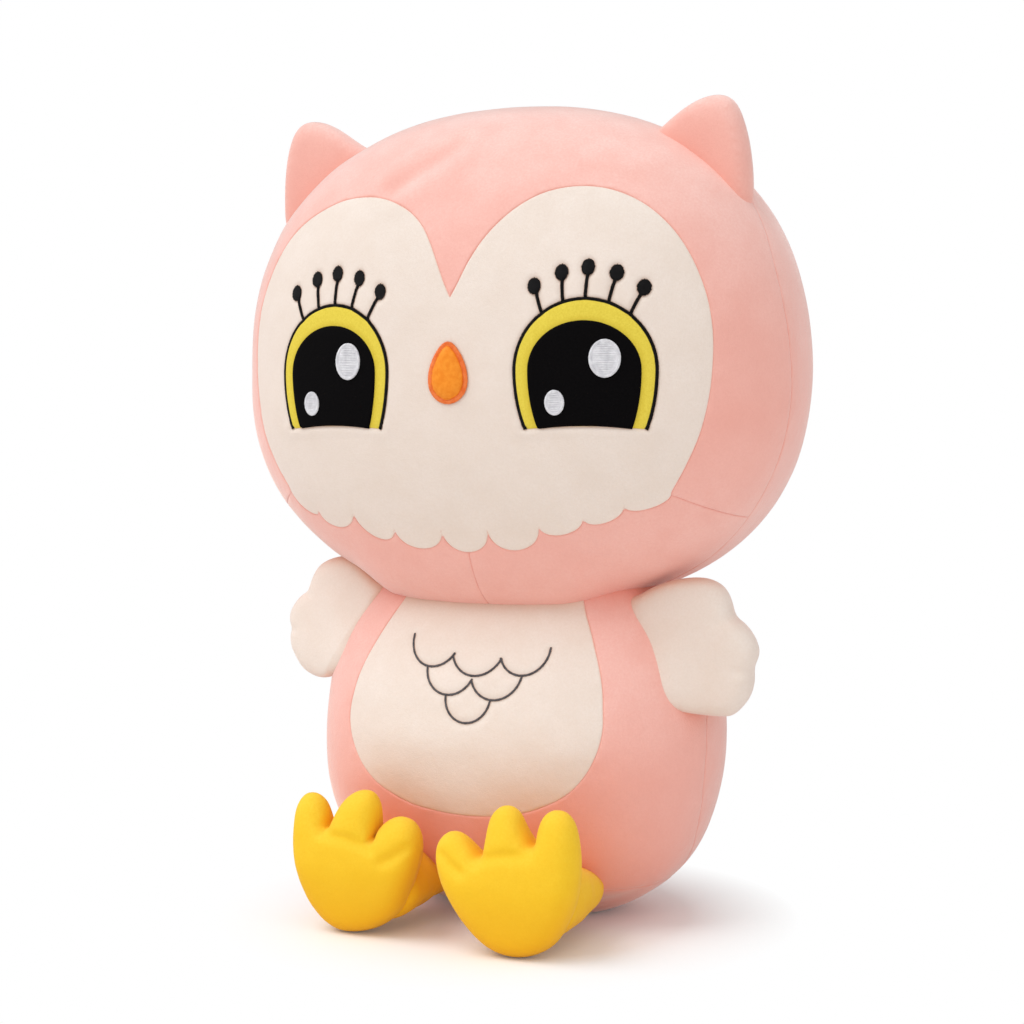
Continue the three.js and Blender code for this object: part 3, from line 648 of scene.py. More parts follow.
class Surface:
    """Cloth that other pieces are placed on, reached from the front."""

    def __init__(self, skin: Skin) -> None:
        """Keeps the skin and a tree to find its places.

        Args:
            skin: the cloth.
        """
        self.skin = skin
        self.normals = skin.normals()
        self.tree = BVHTree.FromPolygons(skin.points.tolist(), skin.faces.tolist())

    def at(self, flat: np.ndarray) -> tuple[np.ndarray, np.ndarray]:
        """Finds places on the front of the cloth.

        Args:
            flat: X and Z of each place.

        Returns:
            The places and the cloth's normals there.
        """
        places = np.zeros((len(flat), 3))
        normals = np.zeros((len(flat), 3))
        for index, (x, z) in enumerate(flat):
            spot, _, face, _ = self.tree.ray_cast(Vector((x, FRONT_START, z)), Vector((0, 1, 0)))
            if spot is None:
                raise ValueError(f"no cloth at {x:.1f}, {z:.1f}")
            places[index] = spot
            corners = self.skin.faces[face]
            a, b, c = self.skin.points[corners]
            basis = np.stack([b - a, c - a], axis=1)
            part = np.linalg.lstsq(basis, np.array(spot) - a, rcond=None)[0]
            weights = np.array([1 - part.sum(), part[0], part[1]])
            way = (self.normals[corners] * weights[:, None]).sum(0)
            normals[index] = way / np.linalg.norm(way)
        return places, normals


# Stuffed forms


@dataclass(frozen=True)
class RoundForm:
    """Stuffed form with rounded sides: its sizes in millimetres and the powers of its curves."""

    centre_height: float
    half_width: float
    front: float
    back: float
    rise: float
    drop: float
    plan_power: float
    side_rise_power: float
    front_rise_power: float
    drop_power: float

    def fullness(self, points: np.ndarray) -> np.ndarray:
        """Value that is under 1 inside the form and over 1 outside it.

        Args:
            points: places in millimetres.

        Returns:
            One value for each place.
        """
        up = points[:, 2] - self.centre_height
        climb = np.minimum(np.abs(up) / np.where(up > 0, self.rise, self.drop), 1)
        side_power = np.where(up > 0, self.side_rise_power, self.drop_power)
        front_power = np.where(up > 0, self.front_rise_power, self.drop_power)
        side = np.maximum(1 - climb**side_power, 1e-9) ** (1 / side_power)
        ahead = np.maximum(1 - climb**front_power, 1e-9) ** (1 / front_power)
        depth = np.where(points[:, 1] < 0, self.front * ahead, self.back * side)
        across = np.abs(points[:, 0]) / (self.half_width * side)
        value = across**self.plan_power + (np.abs(points[:, 1]) / depth) ** self.plan_power
        return np.where(climb < 1, value, 2.0)

    @property
    def centre(self) -> np.ndarray:
        """Middle of the form."""
        return np.array([0, 0, self.centre_height])

    def reach(self, ways: np.ndarray) -> np.ndarray:
        """Distance from the form's centre to its surface along unit directions.

        Args:
            ways: unit directions.

        Returns:
            One distance for each direction.
        """
        low = np.zeros(len(ways))
        high = np.full(len(ways), 2 * max(self.half_width, self.rise, self.drop))
        for _ in range(40):
            middle = (low + high) / 2
            within = self.fullness(self.centre + ways * middle[:, None]) < 1
            low = np.where(within, middle, low)
            high = np.where(within, high, middle)
        return low

    def gap(self, points: np.ndarray) -> np.ndarray:
        """Rough distance of places from the form's surface, negative inside.

        Args:
            points: places in millimetres.

        Returns:
            One distance for each place.
        """
        arm = points - self.centre
        length = np.maximum(np.linalg.norm(arm, axis=1), TINY)
        return length - self.reach(arm / length[:, None])


def cube_ball(count: int) -> tuple[np.ndarray, np.ndarray]:
    """Ball of even square faces.

    Args:
        count: faces along each edge of the cube that it comes from.

    Returns:
        Unit directions, and four corners for each face, outwards.
    """
    side = count + 1
    ticks = np.tan(np.linspace(-1, 1, side) * math.pi / 4)
    u, v = np.meshgrid(ticks, ticks, indexing="ij")
    places, quads = [], []
    for axis in range(3):
        for sign in (-1, 1):
            grid = np.zeros((side, side, 3))
            grid[..., axis] = sign
            grid[..., (axis + 1) % 3] = u
            grid[..., (axis + 2) % 3] = v
            index = len(places) * side**2 + np.arange(side**2).reshape(side, side)
            quad = np.stack([index[:-1, :-1], index[1:, :-1], index[1:, 1:], index[:-1, 1:]], -1)
            quads.append(quad.reshape(-1, 4)[:, ::sign])
            places.append(grid.reshape(-1, 3))
    ways = unit(np.vstack(places))
    _, first, back = np.unique(np.round(ways, 6), axis=0, return_index=True, return_inverse=True)
    return ways[first], back.ravel()[np.vstack(quads)]


@dataclass
class Stuffing:
    """How a piece of cloth swells when it is filled."""

    pressure: float = 4.0
    reach: float = 3.0
    stiffness: float = 15.0
    quality: int = 5
    last_frame: int = 20

    def start(self, made: bpy.types.Object, pins: np.ndarray) -> None:
        """Puts the cloth solver on a piece.

        Args:
            made: the piece.
            pins: how firmly each point is held, from 0 to 1.
        """
        cloth = made.modifiers.new("filling", "CLOTH")
        settings = cloth.settings
        settings.quality = self.quality
        settings.use_pressure = True
        settings.uniform_pressure_force = self.pressure
        settings.tension_stiffness = self.stiffness
        settings.compression_stiffness = self.stiffness
        settings.shear_stiffness = self.stiffness / 3
        settings.effector_weights.gravity = 0
        group = made.vertex_groups.new(name="held")
        for index in np.flatnonzero(pins > 0):
            group.add([int(index)], float(pins[index]), "REPLACE")
        settings.vertex_group_mass = group.name
        cloth.point_cache.frame_end = self.last_frame

    def finish(self, made: bpy.types.Object) -> None:
        """Takes the filled shape over, no further than its reach, and removes the solver.

        Args:
            made: the object.
        """
        filled = made.evaluated_get(bpy.context.evaluated_depsgraph_get())
        start, end = (np.empty(len(made.data.vertices) * 3) for _ in range(2))
        made.data.vertices.foreach_get("co", start)
        filled.data.vertices.foreach_get("co", end)
        move = (end - start).reshape(-1, 3)
        length = np.linalg.norm(move, axis=1)
        limit = self.reach * MM
        kept = limit * np.tanh(length / limit) / np.maximum(length, TINY)
        made.modifiers.clear()
        made.data.vertices.foreach_set("co", start + (move * kept[:, None]).ravel())
        made.data.update()


class Workshop:
    """Collects the raw cloth pieces, fills them all in one run and gives them back."""

    def __init__(self) -> None:
        """Starts with no pieces."""
        self.waiting: list[tuple[bpy.types.Object, Stuffing, np.ndarray]] = []

    def add(self, raw: tuple[bpy.types.Object, np.ndarray], reach: float) -> None:
        """Takes a raw piece in, with how firmly its points are held and how far they may go."""
        self.waiting.append((raw[0], Stuffing(reach=reach), raw[1]))

    def fill(self) -> list[Skin]:
        """Fills every piece by cloth simulation and reads its cloth, once more subdivided.

        Returns:
            The filled pieces, in the order in which they were added.
        """
        for made, stuffing, pins in self.waiting:
            stuffing.start(made, pins)
        for moment in range(1, Stuffing.last_frame + 1):
            bpy.context.scene.frame_set(moment)
        for made, stuffing, _ in self.waiting:
            stuffing.finish(made)
        bpy.context.scene.frame_set(1)
        for made, _, _ in self.waiting:
            modifier = made.modifiers.new("subdivision", "SUBSURF")
            modifier.levels = modifier.render_levels = 1
        return [Skin.from_object(made) for made, _, _ in self.waiting]


def raw_object(name: str, points: np.ndarray, faces: list[list[int]] | tuple = (),
               fields: dict[str, np.ndarray] | None = None) -> bpy.types.Object:
    """Makes an object in the scene from places in millimetres.

    Args:
        name: its name.
        points: its points.
        faces: the corners of its faces.
        fields: values for each point by name, single numbers or vectors.

    Returns:
        The object.
    """
    mesh = bpy.data.meshes.new(name)
    mesh.from_pydata((points * MM).tolist(), [], faces)
    for key, value in (fields or {}).items():
        kind, entry = ("FLOAT", "value") if value.ndim == 1 else ("FLOAT_VECTOR", "vector")
        attribute = mesh.attributes.new(key, kind, "POINT")
        attribute.data.foreach_set(entry, np.ascontiguousarray(value, dtype=np.float32).ravel())
    mesh.update()
    return linked(name, mesh)


def linked(name: str, data: bpy.types.ID) -> bpy.types.Object:
    """Makes an object of a mesh, lamp or camera and links it to the scene.

    Args:
        name: its name.
        data: the mesh, lamp or camera.

    Returns:
        The object.
    """
    made = bpy.data.objects.new(name, data)
    bpy.context.scene.collection.objects.link(made)
    return made


# Flat cuts of cloth


RING_TOLERANCE = 0.15
GRID_MARGIN = 0.62


def flat_cut(outline: np.ndarray, step: float,
             rings: tuple[float, ...]) -> tuple[np.ndarray, np.ndarray]:
    """Even triangles inside an outline.

    Args:
        outline: closed outline, turned to the left.
        step: size of the triangles.
        rings: distances inside the outline that get a row of points of their own.

    Returns:
        Flat points, the outline's own ones first, and triangles.
    """
    after = np.roll(outline, -1, axis=0)
    if (outline[:, 0] * after[:, 1] - after[:, 0] * outline[:, 1]).sum() < 0:
        outline = outline[::-1]
    border = resampled(np.vstack([outline, outline[:1]]), step, True)
    points = [border]
    _, inwards = line_ways(border, True)
    for distance in rings:
        row = border + inwards * distance
        depth, _ = outline_depth(row, border)
        points.append(row[np.abs(depth - distance) < RING_TOLERANCE * distance])
    low, high = border.min(0), border.max(0)
    rows = []
    for index, up in enumerate(np.arange(low[1], high[1], step * math.sqrt(3) / 2)):
        across = np.arange(low[0] + (index % 2) * step / 2, high[0], step)
        rows.append(np.stack([across, np.full(len(across), up)], 1))
    grid = np.vstack(rows)
    depth, _ = outline_depth(grid, border)
    points.append(grid[depth > max(rings) + GRID_MARGIN * step])
    ring = [(index, (index + 1) % len(border)) for index in range(len(border))]
    corners = [Vector(point) for point in np.vstack(points)]
    places, _, faces, _, _, _ = delaunay_2d_cdt(corners, ring, [], 1, ON_CUT)
    return np.array([tuple(place) for place in places]), np.array(faces)


def swelling(points: np.ndarray, faces: np.ndarray, edge: np.ndarray) -> np.ndarray:
    """How far a flat bag swells at each point, as the soap film over its outline does.

    Args:
        points: flat points.
        faces: triangles.
        edge: whether each point lies on the outline.

    Returns:
        Swelling that is 0 on the outline and close to the half width in a narrow strip.
    """
    matrix = np.zeros((len(points), len(points)))
    load = np.zeros(len(points))
    for turn in range(3):
        a, b, c = np.roll(faces, turn, axis=1).T
        u, v = points[a] - points[c], points[b] - points[c]
        area = np.abs(u[:, 0] * v[:, 1] - u[:, 1] * v[:, 0])
        pull = (u * v).sum(1) / area / 2
        for row, column, part in ((a, b, -pull), (b, a, -pull), (a, a, pull), (b, b, pull)):
            np.add.at(matrix, (row, column), part)
        np.add.at(load, c, area / 6)
    free = np.flatnonzero(~edge)
    film = np.zeros(len(points))
    film[free] = np.linalg.solve(matrix[np.ix_(free, free)], load[free])
    return np.sqrt(2 * np.maximum(film, 0))


@dataclass
class Bag:
    """Two matching cuts of cloth sewn along their outline and filled."""

    outline_points: Line
    plane: float
    half_thickness: float
    step: float = 2.0
    roundness: float = 0.9
    row_shares: Flat = (0.35, 1.1)
    round_power: float = 3.0
    crease_limit: float = 0.8
    creases: tuple[tuple[Line, float, float], ...] = ()

    def raw(self, name: str) -> tuple[bpy.types.Object, np.ndarray]:
        """Makes the unfilled bag.

        Args:
            name: name of the raw piece.

        Returns:
            The piece, and how firmly each of its points is held.
        """
        outline = smooth_line(list(self.outline_points), True, self.step)
        flat, faces = flat_cut(outline, self.step, tuple(share * self.step for share in self.row_shares))
        edge = on_border(len(flat), faces)
        film = swelling(flat, faces, edge) * self.roundness
        power = self.round_power
        front = swell = film / (1 + (film / self.half_thickness) ** power) ** (1 / power)
        for line, depth, width in self.creases:
            distance, _ = line_distance(flat, np.array(line), False)
            front = front - np.minimum(depth * bell(distance, width), self.crease_limit * front)
        near, far = (np.stack([flat[:, 0], self.plane + out, flat[:, 1]], 1) for out in (-front, swell))
        ways = np.tile([0.0, -1.0, 0.0], (len(flat), 1))
        skin = Skin.closed_pair(near, far, faces, edge, ways)
        sides = np.ones(len(skin.points))
        sides[:len(flat)] = np.where(edge, 0.0, -1.0)
        made = raw_object(name, skin.points, skin.faces.tolist(), {"side": sides})
        return made, np.where(sides == 0, 1.0, 0.0)


# Sewing


@dataclass(frozen=True)
class SeamShape:
    """Groove along a seam, in millimetres."""

    depth: float = 0.4
    reach: float = 1.6
    rows: tuple[float, ...] = (0.16, 0.4, 0.7, 1.0)
    snap: float = 0.3
    waver: Wave = Wave(0.25, 9.0, 3)
    pucker: Wave = Wave(0.16, 4.5, 5)
    pucker_reach: float = 5.0


def surface_distance(value: np.ndarray, slope: np.ndarray, normals: np.ndarray) -> np.ndarray:
    """Distance along the cloth to where a field of space is zero.

    Args:
        value: the field at each point, in millimetres.
        slope: the field's unit slope, one for each point or one for all.
        normals: the cloth's normals.

    Returns:
        Signed distances along the cloth.
    """
    steepest = 0.12
    along = 1 - (slope * normals).sum(1) ** 2
    return value / np.sqrt(np.clip(along, steepest, 1))


def flat_field(points: np.ndarray, normals: np.ndarray, outline: np.ndarray) -> np.ndarray:
    """Signed distance along the cloth to an outline seen from the front, positive inside.

    Args:
        points: places in millimetres.
        normals: the cloth's normals.
        outline: the closed outline.

    Returns:
        One distance for each point.
    """
    depth, slope = outline_depth(points[:, [X, Z]], outline)
    way = np.stack([slope[:, 0], np.zeros(len(slope)), slope[:, 1]], 1)
    return surface_distance(depth, way, normals)


def sewn_panel(skin: Skin, keep: np.ndarray, seams: list[str], shape: SeamShape) -> Skin:
    """Cuts one panel out of a form and draws its edges in.

    Args:
        skin: the whole sliced form, with its normals as fields.
        keep: the panel's triangles.
        seams: fields whose zero lines edge the panel.
        shape: the groove.

    Returns:
        The panel, with the distance to its seams as field "seam".
    """
    panel = skin.part(keep)
    panel.fields["seam"] = np.min([np.abs(panel.fields[name]) for name in seams], axis=0)
    for row in shape.rows:
        panel = panel.sliced("seam", row * shape.reach, shape.snap)
    normals = unit(np.stack([panel.fields[name] for name in NORMAL_FIELDS], 1))
    seam = panel.fields["seam"]
    share = np.clip(seam / shape.reach, 0, 1)
    drop = shape.depth * (1 - np.sqrt(np.maximum(1 - (1 - share) ** 2, 0)))
    drop = drop * (1 + shape.waver.at(panel.points))
    pucker = shape.pucker.at(panel.points) * bell(seam, shape.pucker_reach)
    panel.points = panel.points - normals * (drop - pucker * smooth_step(share * 2))[:, None]
    return panel


@dataclass
class SewnForm:
    """Stuffed form that is cut along its seams into panels: what head and body have in common."""

    form: RoundForm
    side_seam: Line
    squares: int
    seams: tuple[str, ...]
    body: str
    cloth: float = 1.8
    reach: float = 3.0
    fill: float = 0.85
    seam_shape: SeamShape = SeamShape()
    hold: Flat = (1.6, 3.2)
    seat: float = 6.0
    fine_reach: float = 3.0

    def raw(self) -> tuple[bpy.types.Object, np.ndarray]:
        """Unfilled form, and how firmly its points are held.

        Returns:
            The piece, and one value from 0 to 1 for each of its points.
        """
        ways, quads = cube_ball(self.squares)
        skin = Skin(ways * self.form.reach(ways)[:, None] + self.form.centre,
                    np.vstack([quads[:, [0, 1, 2]], quads[:, [0, 2, 3]]]))
        skin.above()
        self.measure(skin)
        held = smooth_step(self.hold[0] - self.seam_distance(skin) / self.hold[1])
        made = raw_object(f"{self.body}_raw", skin.points, quads.tolist())
        return made, np.maximum(held, skin.points[:, Z] < self.seat)

    def measure(self, skin: Skin) -> None:
        """Keeps the distances to every seam line as fields.

        Args:
            skin: the cloth.
        """
        points, normals = skin.points, skin.normals()
        heights, places = np.array(self.side_seam).T
        across, away, up = np.eye(3)
        side = points[:, Y] - np.interp(points[:, Z], heights, places)
        skin.fields["side"] = surface_distance(side, away, normals)
        skin.fields["shape"] = flat_field(points, normals, self.outline)
        skin.fields["level"] = surface_distance(points[:, Z] - self.level(points), up, normals)
        skin.fields["middle"] = surface_distance(points[:, X], across, normals)

    def seam_distance(self, skin: Skin) -> np.ndarray:
        """Distance to the nearest real seam.

        Args:
            skin: the cloth.

        Returns:
            One distance for each point.
        """
        zones = self.zones(*(skin.fields[name] for name in ("side", "shape", "level")))
        return np.min([np.where(zone, np.abs(skin.fields[name]), FAR)
                       for name, zone in zones.items()], axis=0)

    def sliced(self, skin: Skin) -> Skin:
        """The filled form sliced along all its seams, with its normals as fields.

        Args:
            skin: the cloth.

        Returns:
            The sliced form.
        """
        self.measure(skin)
        skin.fields.update(zip(NORMAL_FIELDS, skin.normals().T))
        for name in self.seams:
            skin = skin.sliced(name)
        return skin

    def dress(self, skin: Skin, dresser: "Dresser") -> None:
        """Cuts the panels out and hands them over; the front panel also stands for the filling.

        Args:
            skin: the cloth.
            dresser: what hands the pieces over.
        """
        for name, (keep, seams, slot) in self.panels(skin).items():
            panel = sewn_panel(skin, keep, seams, self.seam_shape).thickened(self.cloth)
            panel.above()
            nodes = [name] + ([f"{self.body}_filling"] if name == f"{self.body}_front_panel" else [])
            made = panel.to_object(f"owl_{name}")
            dresser.hand_over(made, slot, nodes, self.body, self.panel_bend(name))


# Finishes


def linear(colour: Colour) -> tuple[float, float, float, float]:
    """Display colour from 0 to 255 as scene-linear colour with alpha."""
    shares = [part / 255 for part in colour]
    return (*[s / 12.92 if s <= 0.04045 else ((s + 0.055) / 1.055) ** 2.4 for s in shares], 1.0)


@dataclass(frozen=True)
class Fleck:
    """Patches of another tone: waves to a metre, finer layers, and the noise that mixes it in."""

    scale: float
    detail: float
    low: float
    high: float
    most: float = 1.0


@dataclass(frozen=True)
class Grain:
    """Relief of a surface: waves to a metre, finer layers, strength and height in metres."""

    scale: float
    detail: float
    strength: float
    height: float


class NodeBench:
    """Short words for building a material's nodes."""

    def __init__(self, name: str) -> None:
        """Starts a material with only a Principled shader and its output.

        Args:
            name: name of the material.
        """
        self.material = bpy.data.materials.new(name)
        self.material.use_nodes = True
        self.tree = self.material.node_tree
        self.shader = self.tree.nodes["Principled BSDF"]
        self.place = self.add("TexCoord").outputs["Object"]

    def add(self, kind: str, **inputs: Socket | float | tuple[float, ...]) -> bpy.types.Node:
        """Adds a node.

        Args:
            kind: its type, without the leading ShaderNode.
            inputs: a socket or a plain value for each of its named inputs, with _ for a space.

        Returns:
            The node.
        """
        node = self.tree.nodes.new(f"ShaderNode{kind}")
        for name, value in inputs.items():
            target = node.inputs[name.replace("_", " ")]
            if isinstance(value, Socket):
                self.link(value, target)
            else:
                target.default_value = value
        return node

    def link(self, source: Socket, target: Socket) -> None:
        """Joins two sockets."""
        self.tree.links.new(source, target)

    def noise(self, scale: float, detail: float) -> Socket:
        """Noise on the object's own coordinates, with so many waves to a metre and finer layers."""
        return self.add("TexNoise", Scale=scale, Detail=detail, Vector=self.place).outputs["Fac"]

    def spread(self, value: Socket, low: float, high: float,
               to_low: float = 0.0, to_high: float = 1.0) -> Socket:
        """Maps a range of a value to another range and clamps it.

        Args:
            value: the value to map.
            low: value where the range starts.
            high: value where the range ends.
            to_low: result at the start.
            to_high: result at the end.

        Returns:
            The mapped value.
        """
        node = self.add("MapRange", Value=value)
        for index, number in enumerate((low, high, to_low, to_high)):
            node.inputs[index + 1].default_value = number
        return node.outputs[0]

    def attribute(self, name: str) -> Socket:
        """Value of a named attribute of the mesh.

        Args:
            name: name of the attribute.

        Returns:
            The value's socket.
        """
        node = self.add("Attribute")
        node.attribute_name = name
        return node.outputs["Fac"]

    def mixed(self, factor: Socket, first: Socket | Colour, second: Colour) -> Socket:
        """Mixes a colour towards a second one.

        Args:
            factor: share of the second colour.
            first: the first colour.
            second: the second colour.

        Returns:
            The mixed colour.
        """
        node = self.add("Mix")
        node.data_type = "RGBA"
        self.link(factor, node.inputs[0])
        if isinstance(first, tuple):
            node.inputs[6].default_value = linear(first)
        else:
            self.link(first, node.inputs[6])
        node.inputs[7].default_value = linear(second)
        return node.outputs[2]

    def flecked(self, fleck: Fleck, first: Socket | Colour, second: Colour) -> Socket:
        """Mixes a second colour in where the fleck's noise is high."""
        noise = self.noise(fleck.scale, fleck.detail)
        return self.mixed(self.spread(noise, fleck.low, fleck.high, 0.0, fleck.most), first, second)

    def facing(self, low: float, high: float, most: float) -> Socket:
        """Share of a colour, from 0 to its most, as the height of the normal goes from low to high."""
        parts = self.add("SeparateXYZ", Vector=self.add("NewGeometry").outputs["Normal"])
        return self.spread(parts.outputs["Z"], low, high, 0.0, most)

    def painted_fold_shade(self, reach: float, closed: float, open_from: float) -> Socket:
        """Share of painted shade in folds, from ambient occlusion within a reach in metres: 0 in the open, 1
        in a closed fold.

        Args:
            reach: reach of a fold in metres.
            closed: open share that counts as a closed fold.
            open_from: open share from which the cloth counts as open.

        Returns:
            The depth's socket.
        """
        node = self.add("AmbientOcclusion", Distance=reach)
        node.samples = 6
        return self.spread(node.outputs["AO"], closed, open_from, 1.0, 0.0)

    def finish(self, colour: Socket, grains: tuple[Grain, ...],
               **constants: float | tuple[float, ...]) -> bpy.types.Material:
        """Joins colour and relief to the shader and sets its plain numbers.

        Args:
            colour: the base colour.
            grains: the relief, each grain on top of the one before.
            constants: values of the shader's inputs, with _ for a space.

        Returns:
            The material.
        """
        self.link(colour, self.shader.inputs["Base Color"])
        normal = None
        for grain in grains:
            node = self.add("Bump", Strength=grain.strength, Distance=grain.height,
                            Height=self.noise(grain.scale, grain.detail))
            if normal:
                self.link(normal, node.inputs["Normal"])
            normal = node.outputs[0]
        self.link(normal, self.shader.inputs["Normal"])
        for name, number in constants.items():
            self.shader.inputs[name.replace("_", " ")].default_value = number
        return self.material


@dataclass(frozen=True)
class PlushFinish:
    """Short velour: deeper where the nap lies over, paler where it faces up or down by painted light, and
    darker and warmer in its folds by painted shade.
    """

    name: str
    light: Colour
    deep: Colour
    # Colour of the painted light on cloth that faces up or down.
    pale: Colour
    # Colour of the painted shade in folds, darker and warmer.
    warm: Colour
    seam: Colour
    sheen: float
    sheen_tint: Colour = (255, 238, 234)
    sheen_roughness: float = 0.42
    roughness: float = 0.95
    specular: float = 0.12
    # Normal heights and most share of the painted light, for cloth facing up and for cloth facing down.
    up: Place = (-0.1, 0.95, 1.0)
    down: Place = (-0.1, -0.8, 0.45)
    flecks: tuple[Fleck, ...] = (Fleck(60, 3, 0.36, 0.66, 0.3), Fleck(900, 3, 0.3, 0.7, 0.35))
    # Reach in metres and open shares of the painted shade in folds.
    fold: Place = (0.07, 0.2, 0.95)
    seam_reach: float = 0.5
    seam_share: float = 0.4
    grains: tuple[Grain, ...] = (Grain(240, 4, 0.35, 0.0007), Grain(1700, 3, 0.45, 0.00035))

    def build(self) -> bpy.types.Material:
        """Makes the material.

        Returns:
            The material.
        """
        bench = NodeBench(self.name)
        # Painted light: paler where the cloth faces up or down.
        colour = bench.mixed(bench.facing(*self.up), self.light, self.pale)
        colour = bench.mixed(bench.facing(*self.down), colour, self.pale)
        for fleck in self.flecks:
            colour = bench.flecked(fleck, colour, self.deep)
        # Painted shade: darker and warmer in folds, from ambient occlusion.
        colour = bench.mixed(bench.painted_fold_shade(*self.fold), colour, self.warm)
        near_seam = bench.spread(bench.attribute("seam"), 0, self.seam_reach, self.seam_share, 0.0)
        colour = bench.mixed(near_seam, colour, self.seam)
        return bench.finish(colour, self.grains, Roughness=self.roughness, Specular_IOR_Level=self.specular,
                            Sheen_Weight=self.sheen, Sheen_Roughness=self.sheen_roughness,
                            Sheen_Tint=linear(self.sheen_tint))


@dataclass(frozen=True)
class FlatFinish:
    """Applique cloth or thread in two tones, with a painted shadow that darkens it towards an edge where a
    shade colour is given.
    """

    name: str
    light: Colour
    deep: Colour
    specular: float
    roughness: float
    fleck: Fleck
    grain: Grain
    # Colour of a painted shadow towards the edge.
    shade: Colour | None = None
    shade_reach: float = 3.0
    shade_share: float = 0.55

    def build(self) -> bpy.types.Material:
        """Makes the material.

        Returns:
            The material.
        """
        bench = NodeBench(self.name)
        colour = bench.flecked(self.fleck, self.light, self.deep)
        if self.shade:
            # Painted shadow: darker near the edge, which for the iris is its border with the raised pupil.
            near_edge = bench.spread(bench.attribute("rim"), 0, self.shade_reach, self.shade_share, 0.0)
            colour = bench.mixed(near_edge, colour, self.shade)
        return bench.finish(colour, (self.grain,), Roughness=self.roughness, Specular_IOR_Level=self.specular)


NAP = (0.85, Fleck(1300, 3, 0.3, 0.7), Grain(1900, 3, 0.5, 0.0003))
TWIST = (Fleck(420, 2, 0.35, 0.65), Grain(3200, 2, 0.3, 0.00012))
FINISHES = {
    # Third colour of each velour: painted light where it faces up or down; fourth: painted shade, darker and
    # warmer, in its folds.
    Slot.PINK: PlushFinish("pink_velour", (246, 180, 166), (239, 169, 155), (255, 219, 211), (241, 155, 134),
                           (226, 148, 136), 1.0),
    Slot.CREAM: PlushFinish("cream_velour", (239, 224, 213), (231, 213, 198), (247, 237, 228),
                            (228, 184, 155), (234, 178, 162), 0.6),
    Slot.YELLOW: PlushFinish("yellow_velour", (251, 207, 50), (244, 192, 36), (254, 214, 74), (244, 180, 30),
                             (238, 186, 40), 0.1),
    # The iris's last colour is a painted shadow where the raised pupil meets it.
    Slot.IRIS: FlatFinish("iris_cloth", (236, 214, 82), (226, 201, 68), 0.2, *NAP, (216, 186, 50)),
    Slot.BLACK_CLOTH: FlatFinish("black_cloth", (9, 7, 8), (4, 3, 4), 0.06, *NAP),
    Slot.BLACK_THREAD: FlatFinish("black_thread", (14, 12, 14), (6, 5, 6), 0.15, 0.6, *TWIST),
    Slot.WHITE_THREAD: FlatFinish("white_thread", (232, 231, 234), (214, 213, 217), 0.3, 0.6, *TWIST),
    Slot.ORANGE_THREAD: FlatFinish("orange_thread", (249, 151, 42), (242, 136, 28), 0.2, 0.55, *TWIST),
    Slot.SALMON_THREAD: FlatFinish("salmon_thread", (247, 140, 76), (240, 118, 52), 0.2, 0.55, *TWIST),
    Slot.GREY_THREAD: FlatFinish("grey_thread", (98, 94, 96), (80, 76, 78), 0.15, 0.7, *TWIST),
}


def edge_distance(panel: Skin) -> np.ndarray:
    """Distance from every point of a panel to its open edge.

    Args:
        panel: the panel.

    Returns:
        One distance for each point.
    """
    line = panel.points[np.unique(open_edges(panel.faces))]
    best = np.full(len(panel.points), FAR)
    for first in range(0, len(panel.points), BATCH):
        some = panel.points[first:first + BATCH]
        best[first:first + BATCH] = np.sqrt(((some[:, None] - line[None]) ** 2).sum(2)).min(1)
    return best


class Dresser:
    """Hands finished pieces over to the frame."""

    plain_edge = {Slot.CREAM: 1.0}

    def __init__(self) -> None:
        """Builds every finish once."""
        self.materials = {slot: finish.build() for slot, finish in FINISHES.items()}

    def hand_over(self, made: bpy.types.Object, slot: Slot, nodes: list[str], body: str,
                  bend: Bend | None = None) -> None:
        """Dresses a piece and ties it to the frame.

        Args:
            made: the piece.
            slot: its material slot.
            nodes: the frame's nodes that it stands for.
            body: the body that it rides on.
            bend: two bodies, start and end, where the piece crosses a joint.
        """
        made.data.materials.clear()
        made.data.materials.append(self.materials[slot])
        if bend:
            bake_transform(made, bend[0], bend[1], start=tuple(bend[2]), end=tuple(bend[3]))
        else:
            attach(made, body)
        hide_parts(*nodes)
        LOG.info("%s: %d faces on %s", made.name, len(made.data.polygons), body)

    def bag(self, skin: Skin, stem: str, slot: Slot, body: str, fill: float, cloth: float,
            bend: Bend | None = None) -> None:
        """Hands both panels of a stuffed bag over; the front one also stands for its filling.

        Args:
            skin: the bag, whose field "side" is negative in front and positive behind.
            stem: start of the names of its nodes.
            slot: its material slot.
            body: the body that it rides on.
            fill: how full it is; not used.
            cloth: thickness of its cloth.
            bend: two bodies, start and end, where it crosses a joint.
        """
        for which, sign in (("front", -1), ("back", 1)):
            panel = skin.part(skin.on_faces("side") * sign > 0)
            panel.fields["seam"] = edge_distance(panel) + self.plain_edge.get(slot, 0.0)
            name = f"{stem}_{which}_panel"
            nodes = [name] + ([f"{stem}_filling"] if which == "front" else [])
            self.hand_over(panel.thickened(cloth).to_object(f"owl_{name}"), slot, nodes, body, bend)


# Embroidery


